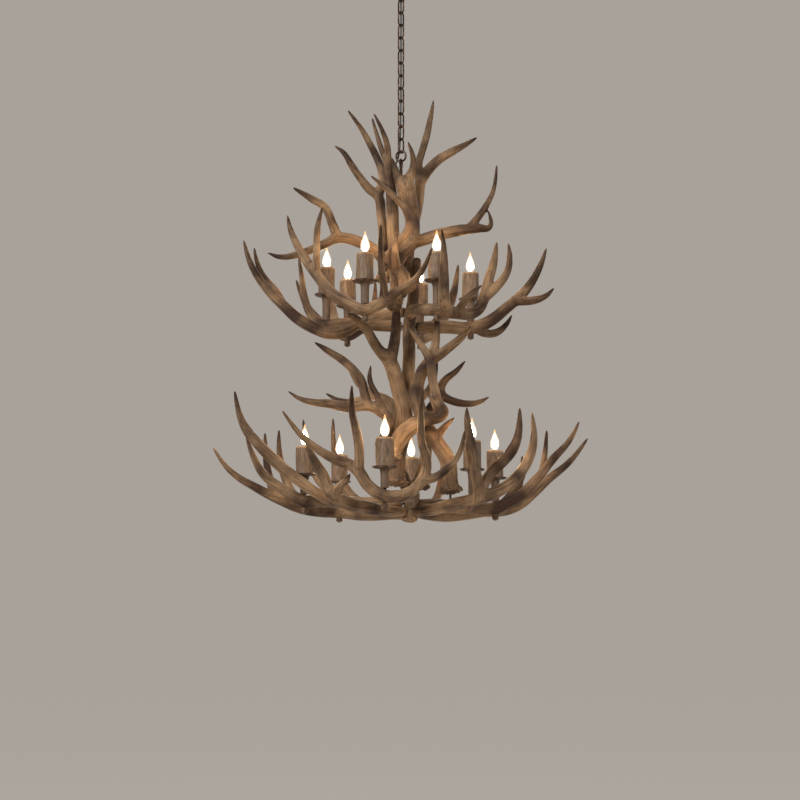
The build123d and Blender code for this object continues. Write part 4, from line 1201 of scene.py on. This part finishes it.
    def screw_shell(self, bm: bmesh.types.BMesh, stand: Stand) -> None:
        """Roll the thread of a lamp's screw shell, with a collar where the glass starts.

        Args:
            bm: The shape that it joins.
            stand: Where it stands.
        """
        crest = stand.radius
        root = crest - self.thread_depth
        profile = [(0, 0), (root * 0.6, 0.5 * MM), (root, self.thread_start)]
        for turn in range(int(stand.height * self.threaded_share / self.thread_pitch)):
            low = self.thread_start + turn * self.thread_pitch
            profile += [(crest, low + self.thread_pitch / 2), (root, low + self.thread_pitch)]
        profile += [(crest, stand.height - 2 * MM), (crest, stand.height), (0, stand.height)]
        lathe(bm, stand.foot, profile, self.round_steps)

    def glass(self, bm: bmesh.types.BMesh, stand: Stand) -> None:
        """Blow a flame-tip envelope."""
        lathe(bm, stand.foot, scaled(self.flame, stand.radius, stand.height), self.round_steps)

    def glow(self, bm: bmesh.types.BMesh, stand: Stand) -> None:
        """Set the glow of the filament in the wide part of the envelope."""
        profile = scaled(self.flame, stand.radius * self.glow_size, stand.height * self.glow_size)
        lathe(bm, stand.foot + UP * (stand.height * self.glow_lift), profile, self.round_steps // 2)


def ring_edges(geometry: list) -> list[bmesh.types.BMEdge]:
    """Pick the last ring out of what an operator made.

    Args:
        geometry: The operator's new vertices, edges and faces.

    Returns:
        Edges of the ring.
    """
    verts = {part for part in geometry if isinstance(part, bmesh.types.BMVert)}
    edges = [part for part in geometry if isinstance(part, bmesh.types.BMEdge)]
    return [edge for edge in edges if set(edge.verts) <= verts]


@dataclass
class BentWire:
    """Round wire bent to an upright oval and closed; width and height are between wire centres.

    Attributes:
        across: Level direction in the oval's plane.
        width: Width of the oval.
        height: Height of the oval.
        wire: Diameter of the wire.
        weld: How far a weld swells one side, or 1 where there is none.
        welded_side: Steps along the welded side, as shares of its length, and whether each ends in the weld.
    """

    across: Vector
    width: float
    height: float
    wire: float
    weld: float = 1.0
    welded_side: tuple[tuple[float, bool], ...] = (
        (0.36, False), (0.08, True), (0.12, True), (0.08, False), (0.36, False),
    )
    round_steps: int = 14
    bend_steps: int = 14

    def bend(self, bm: bmesh.types.BMesh, middle: Vector) -> None:
        """Carry the wire's section up one side, over the top, down the other side and round the foot.

        Args:
            bm: The shape that it joins.
            middle: Middle of the oval.
        """
        half = self.width / 2
        rise = self.height / 2 - half
        start = Matrix.Translation(middle + self.across * half - UP * rise)
        section = bmesh.ops.create_circle(
            bm, segments=self.round_steps, radius=self.wire / 2, matrix=start
        )["verts"]
        ring = list({edge for vert in section for edge in vert.link_edges})
        for side in (1, -1):
            if rise > WELD:
                for share, welded in self.welded_side if side > 0 else ((1, False),):
                    step = UP * (2 * rise * share * side)
                    ring = self.advance(bm, ring, step, self.weld if welded else 1)
            turned = bmesh.ops.spin(
                bm,
                geom=ring + list({vert for edge in ring for vert in edge.verts}),
                cent=middle + UP * (rise * side),
                axis=self.across.cross(UP),
                angle=pi,
                steps=self.bend_steps,
            )
            ring = ring_edges(turned["geom_last"])

    def advance(self, bm: bmesh.types.BMesh, ring: list, step: Vector, swell: float) -> list:
        """Draw the wire straight on.

        Args:
            bm: The shape.
            ring: Edges of the ring where it ends now.
            step: How far it goes.
            swell: Radius of the new ring as a share of the wire's.

        Returns:
            Edges of the new ring.
        """
        made = bmesh.ops.extrude_edge_only(bm, edges=ring)["geom"]
        verts = [part for part in made if isinstance(part, bmesh.types.BMVert)]
        bmesh.ops.translate(bm, verts=verts, vec=step)
        middle = sum((vert.co for vert in verts), Vector()) / len(verts)
        spread = max((vert.co - middle).length for vert in verts)
        change = swell * self.wire / 2 / spread
        bmesh.ops.scale(bm, verts=verts, vec=(change, change, 1), space=Matrix.Translation(-middle))
        return ring_edges(made)


@dataclass
class HangingChain:
    """Twelve welded links, the ring below them and the eye bolt in the crown."""

    links: int = 12
    link_width: float = 21 * MM
    link_height: float = 45.3 * MM
    link_wire: float = 5 * MM
    ring_width: float = 30 * MM
    ring_height: float = 33 * MM
    ring_wire: float = 6 * MM
    eye_width: float = 20 * MM
    eye_wire: float = 6 * MM
    shank_radius: float = 4.6 * MM
    shank_steps: int = 24
    weld: float = 1.14

    def build(self, eye_height: float) -> None:
        """Bend every link, the ring and the eye.

        Args:
            eye_height: Height of the middle of the eye.
        """
        for number in range(1, self.links + 1):
            way = ODD_WAY if number % 2 else EVEN_WAY
            link = BentWire(way, self.link_width, self.link_height, self.link_wire, self.weld)
            self.hang(f"chain_link_{number}", link)
        ring = BentWire(RING_WAY, self.ring_width, self.ring_height, self.ring_wire, self.weld)
        self.hang("hang_ring", ring)
        self.eye_bolt(eye_height)

    def hang(self, node: str, wire: BentWire) -> None:
        """Bend one link or ring in the middle of its solid.

        Args:
            node: Name of the solid and of its body.
            wire: The bent wire.
        """
        low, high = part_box(node)
        bm = bmesh.new()
        wire.bend(bm, (low + high) / 2)
        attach(show(f"{node}_wire", closed_mesh(node, bm), DARK_BRONZE, node), node)

    def eye_bolt(self, eye_height: float) -> None:
        """Bend the eye and set its shank in the antler.

        Args:
            eye_height: Height of the middle of the eye.
        """
        low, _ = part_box("eye_bolt")
        bm = bmesh.new()
        BentWire(EYE_WAY, self.eye_width, self.eye_width, self.eye_wire).bend(bm, UP * eye_height)
        depth = eye_height - self.eye_width / 2 - low.z
        profile = [(0, 0), (self.shank_radius * 0.7, 0), (self.shank_radius, 2 * MM)]
        profile += [(self.shank_radius, depth - 6 * MM), (self.shank_radius * 1.35, depth - 2 * MM)]
        profile += [(self.shank_radius * 1.1, depth), (0, depth)]
        lathe(bm, UP * low.z, profile, self.shank_steps)
        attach(show("eye_bolt_wire", closed_mesh("eye_bolt", bm), DARK_BRONZE, "eye_bolt"), FIXTURE)


@dataclass
class CeilingFitting:
    """The spun canopy, its loop, and the steel that holds them to the ceiling.

    The dome is an outline in shares of the canopy's own radius and height, from its foot up.
    """

    canopy_wall: float = 1.5 * MM
    round_steps: int = 96
    dome: Outline = (
        (0.17, 0.0), (0.34, 0.0), (0.4, 0.02), (0.46, 0.07), (0.56, 0.19), (0.67, 0.33), (0.78, 0.5),
        (0.86, 0.66), (0.915, 0.8), (0.935, 0.86), (0.96, 0.88), (0.985, 0.9), (1.0, 0.94), (1.0, 1.0),
    )
    loop_width: float = 26 * MM
    loop_wire: float = 6 * MM
    collar_radius: float = 9 * MM
    collar_height: float = 14 * MM
    hidden: tuple[str, ...] = ("ceiling_crossbar", "canopy_nipple", "nipple_nut")

    def build(self, solids: dict[str, bpy.types.Object]) -> None:
        """Spin the canopy, turn the loop and plate the steel.

        Args:
            solids: The solids, by name.
        """
        low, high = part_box("canopy")
        radius, height = high.x, high.z - low.z
        outside = scaled(self.dome, radius, height)
        inside = [(wide - self.canopy_wall, tall + self.canopy_wall) for wide, tall in outside[1:-1]]
        inside = [(outside[0][0], self.canopy_wall)] + inside + [(radius - self.canopy_wall, height)]
        bm = bmesh.new()
        lathe(bm, UP * low.z, outside + inside[::-1], self.round_steps, ring=True)
        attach(show("spun_canopy", closed_mesh("canopy", bm), DARK_BRONZE, "canopy"), CEILING)
        self.loop(low.z)
        for name in self.hidden:
            plate(solids[name], BARE_STEEL)

    def loop(self, top: float) -> None:
        """Turn the collar and bend the loop under it.

        Args:
            top: Height of the canopy's underside.
        """
        bm = bmesh.new()
        foot = top - self.collar_height
        neck = self.collar_radius * 0.72
        flange = self.collar_radius * 1.2
        profile = [(0, 0), (neck * 0.8, 0), (neck, 1.5 * MM), (neck, 4 * MM), (self.collar_radius, 6 * MM)]
        profile += [(self.collar_radius, self.collar_height - 2.5 * MM)]
        profile += [(flange, self.collar_height - 1.5 * MM), (flange, self.collar_height)]
        lathe(bm, UP * foot, profile + [(0, self.collar_height)], self.round_steps // 2)
        middle = UP * (foot + self.loop_wire / 2 - self.loop_width / 2)
        BentWire(EVEN_WAY, self.loop_width, self.loop_width, self.loop_wire).bend(bm, middle)
        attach(show("canopy_loop_wire", closed_mesh("loop", bm), DARK_BRONZE, "canopy_loop"), CEILING)


@dataclass
class SupplyCord:
    """The supply cord, held along the chain from the canopy to the crown, in lengths cut at the middle of
    each link.

    Its route is in mm.
    """

    radius: float = 2.5 * MM
    round_steps: int = 4
    curve_steps: int = 40
    bend_reach: float = 9 * MM
    route: tuple[tuple[float, float, float], ...] = (
        (0, 16.5, -17), (0, 16.5, -58), (0, 8.2, -93.65), (0, 8.2, -517.1), (-12, 15, -581.1),
        (-34, 23.5, -615.1),
    )

    def build(self, links: int) -> None:
        """Cut the cord in the middle of each link and make each length between two cuts a piece of its own.

        Args:
            links: Number of links.
        """
        chain = [f"chain_link_{number}" for number in range(1, links + 1)] + ["hang_ring"]
        bodies = [CEILING] + chain + [FIXTURE]
        line = self.line()
        cuts = [sum(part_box(node), Vector()).z / 2 for node in chain]
        cuts = [line[0].z] + cuts + [line[-1].z]
        for number, (above, below) in enumerate(zip(bodies, bodies[1:])):
            mesh = self.tube(self.length_between(line, cuts[number], cuts[number + 1]))
            piece = show(f"supply_cord_{number + 1}", mesh, CORD_JACKET, "supply_cord")
            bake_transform(piece)

    def line(self) -> list[Vector]:
        """Lay a smooth curve over the cord's route.

        Returns:
            Points along the cord, from the top down.
        """
        curve = new_curve("supply_cord")
        curve.resolution_u = self.curve_steps
        spline = curve.splines.new("NURBS")
        spline.points.add(len(self.route) - 1)
        for point, place in zip(spline.points, self.route):
            point.co = (*(Vector(place) * MM), 1)
        spline.order_u = 3
        spline.use_endpoint_u = True
        return [vert.co.copy() for vert in finished_mesh("supply_cord", curve).vertices]

    def length_between(self, line: list[Vector], top: float, foot: float) -> list[Vector]:
        """Return the part of the cord between two heights, with its cut ends.

        Args:
            line: Points along the cord, from the top down.
            top: Height of the upper cut.
            foot: Height of the lower cut.

        Returns:
            Points along that part.
        """
        kept = []
        for before, after in zip(line, line[1:]):
            for cut in (top, foot):
                if before.z >= cut > after.z:
                    kept.append(before.lerp(after, (before.z - cut) / (before.z - after.z)))
            if top > after.z > foot:
                kept.append(after)
        return kept if kept[-1].z <= foot + WELD else kept + [line[-1]]

    def tube(self, points: list[Vector]) -> bpy.types.Mesh:
        """Draw a round tube.

        Args:
            points: Points along its middle.

        Returns:
            The tube.
        """
        curve = new_curve("supply_cord", self.round_steps)
        curve.bevel_depth = self.radius
        spline = curve.splines.new("POLY")
        spline.points.add(len(points) - 1)
        for point, place in zip(spline.points, points):
            point.co = (*place, 1)
        mesh = finished_mesh("supply_cord", curve)
        mesh.shade_smooth()
        return mesh


@dataclass(frozen=True)
class Softbox:
    """One soft lamp: where it stands, its size and its power."""

    name: str
    place: tuple[float, float, float]
    size: float
    power: float


@dataclass
class Studio:
    """Pale floor, soft lamps and a camera where the photograph was taken from."""

    floor_height: float = -4.2
    floor_radius: float = 70.0
    floor_steps: int = 96
    ambient: float = 0.5
    aim: tuple[float, float, float] = (0.0, 0.0, -1.0)
    softboxes: tuple[Softbox, ...] = (
        Softbox("key_lamp", (-3.6, -4.2, 1.8), 2.6, 380.0),
        Softbox("fill_lamp", (4.4, -3.2, 0.2), 3.2, 90.0),
        Softbox("back_lamp", (1.6, 4.8, 1.4), 3.6, 80.0),
    )
    camera_place: tuple[float, float, float] = (-0.003, -4.5, -1.921)
    camera_tilt: float = 7.8
    focal_pixels: float = 1536.0
    image_pixels: float = 800.0

    def build(self) -> None:
        """Set up the floor, the light and the camera."""
        bm = bmesh.new()
        ground = Matrix.Translation(UP * self.floor_height)
        bmesh.ops.create_circle(
            bm, cap_ends=True, segments=self.floor_steps, radius=self.floor_radius, matrix=ground
        )
        mesh = bpy.data.meshes.new("floor")
        bm.to_mesh(mesh)
        bm.free()
        mesh.materials.append(STUDIO_PAINT.material())
        put("floor", mesh)
        self.sky()
        for softbox in self.softboxes:
            self.lamp(softbox)
        self.camera()
        bpy.context.scene.view_settings.view_transform = "Standard"

    def sky(self) -> None:
        """Light the scene evenly, and show the floor's own tone behind the object."""
        world = bpy.data.worlds.new("studio")
        world.use_nodes = True
        nodes = Nodes(world.node_tree)
        link = world.node_tree.links.new
        light = world.node_tree.nodes["Background"]
        nodes.wire(light, {"Color": (1, 1, 1, 1), "Strength": self.ambient}, {})
        tone = {"Color": linear(STUDIO_PAINT.colour), "Strength": self.ambient}
        shown = nodes.add("ShaderNodeBackground", tone, {})
        path = nodes.add("ShaderNodeLightPath", {}, {}).outputs
        seen = path["Is Camera Ray"]
        for other in ("Is Glossy Ray", "Is Transmission Ray"):
            both = nodes.add("ShaderNodeMath", {}, {}, operation="MAXIMUM")
            link(seen, both.inputs[0])
            link(path[other], both.inputs[1])
            seen = both.outputs["Value"]
        mixed = nodes.add("ShaderNodeMixShader", {}, {"Fac": seen})
        link(light.outputs[0], mixed.inputs[1])
        link(shown.outputs[0], mixed.inputs[2])
        nodes.wire(world.node_tree.nodes["World Output"], {}, {"Surface": mixed})
        bpy.context.scene.world = world

    def lamp(self, softbox: Softbox) -> None:
        """Hang one soft lamp and turn it to the object.

        Args:
            softbox: The lamp.
        """
        light = bpy.data.lights.new(softbox.name, "AREA")
        light.size = softbox.size
        light.energy = softbox.power
        lamp = put(softbox.name, light)
        lamp.location = softbox.place
        lamp.rotation_euler = (Vector(self.aim) - lamp.location).to_track_quat("-Z", "Y").to_euler()
        lamp.visible_camera = False

    def camera(self) -> None:
        """Stand the camera in front of the object and below it, tilted up."""
        data = bpy.data.cameras.new("camera")
        data.sensor_fit = "HORIZONTAL"
        data.lens = data.sensor_width * self.focal_pixels / self.image_pixels
        camera = put("camera", data)
        camera.location = self.camera_place
        camera.rotation_euler = (radians(90 + self.camera_tilt), 0, 0)
        bpy.context.scene.camera = camera


def main() -> None:
    """Build the chandelier around its solids and set up the studio."""
    logging.basicConfig(level=logging.INFO, format="%(name)s: %(message)s")
    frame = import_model()
    solids = frame["nodes"]
    eye_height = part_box("drip_pans")[0].z - LOWER_PAN_HEIGHT
    chain = HangingChain()
    for antler in ANTLERS:
        antler.build(eye_height)
    CandleLights().build(solids)
    chain.build(eye_height)
    CeilingFitting().build(solids)
    SupplyCord().build(chain.links)
    for name in ("candle_rods", "joining_pins"):
        plate(solids[name], BLACK_STEEL)
    Studio().build()


if __name__ == "__main__":
    main()
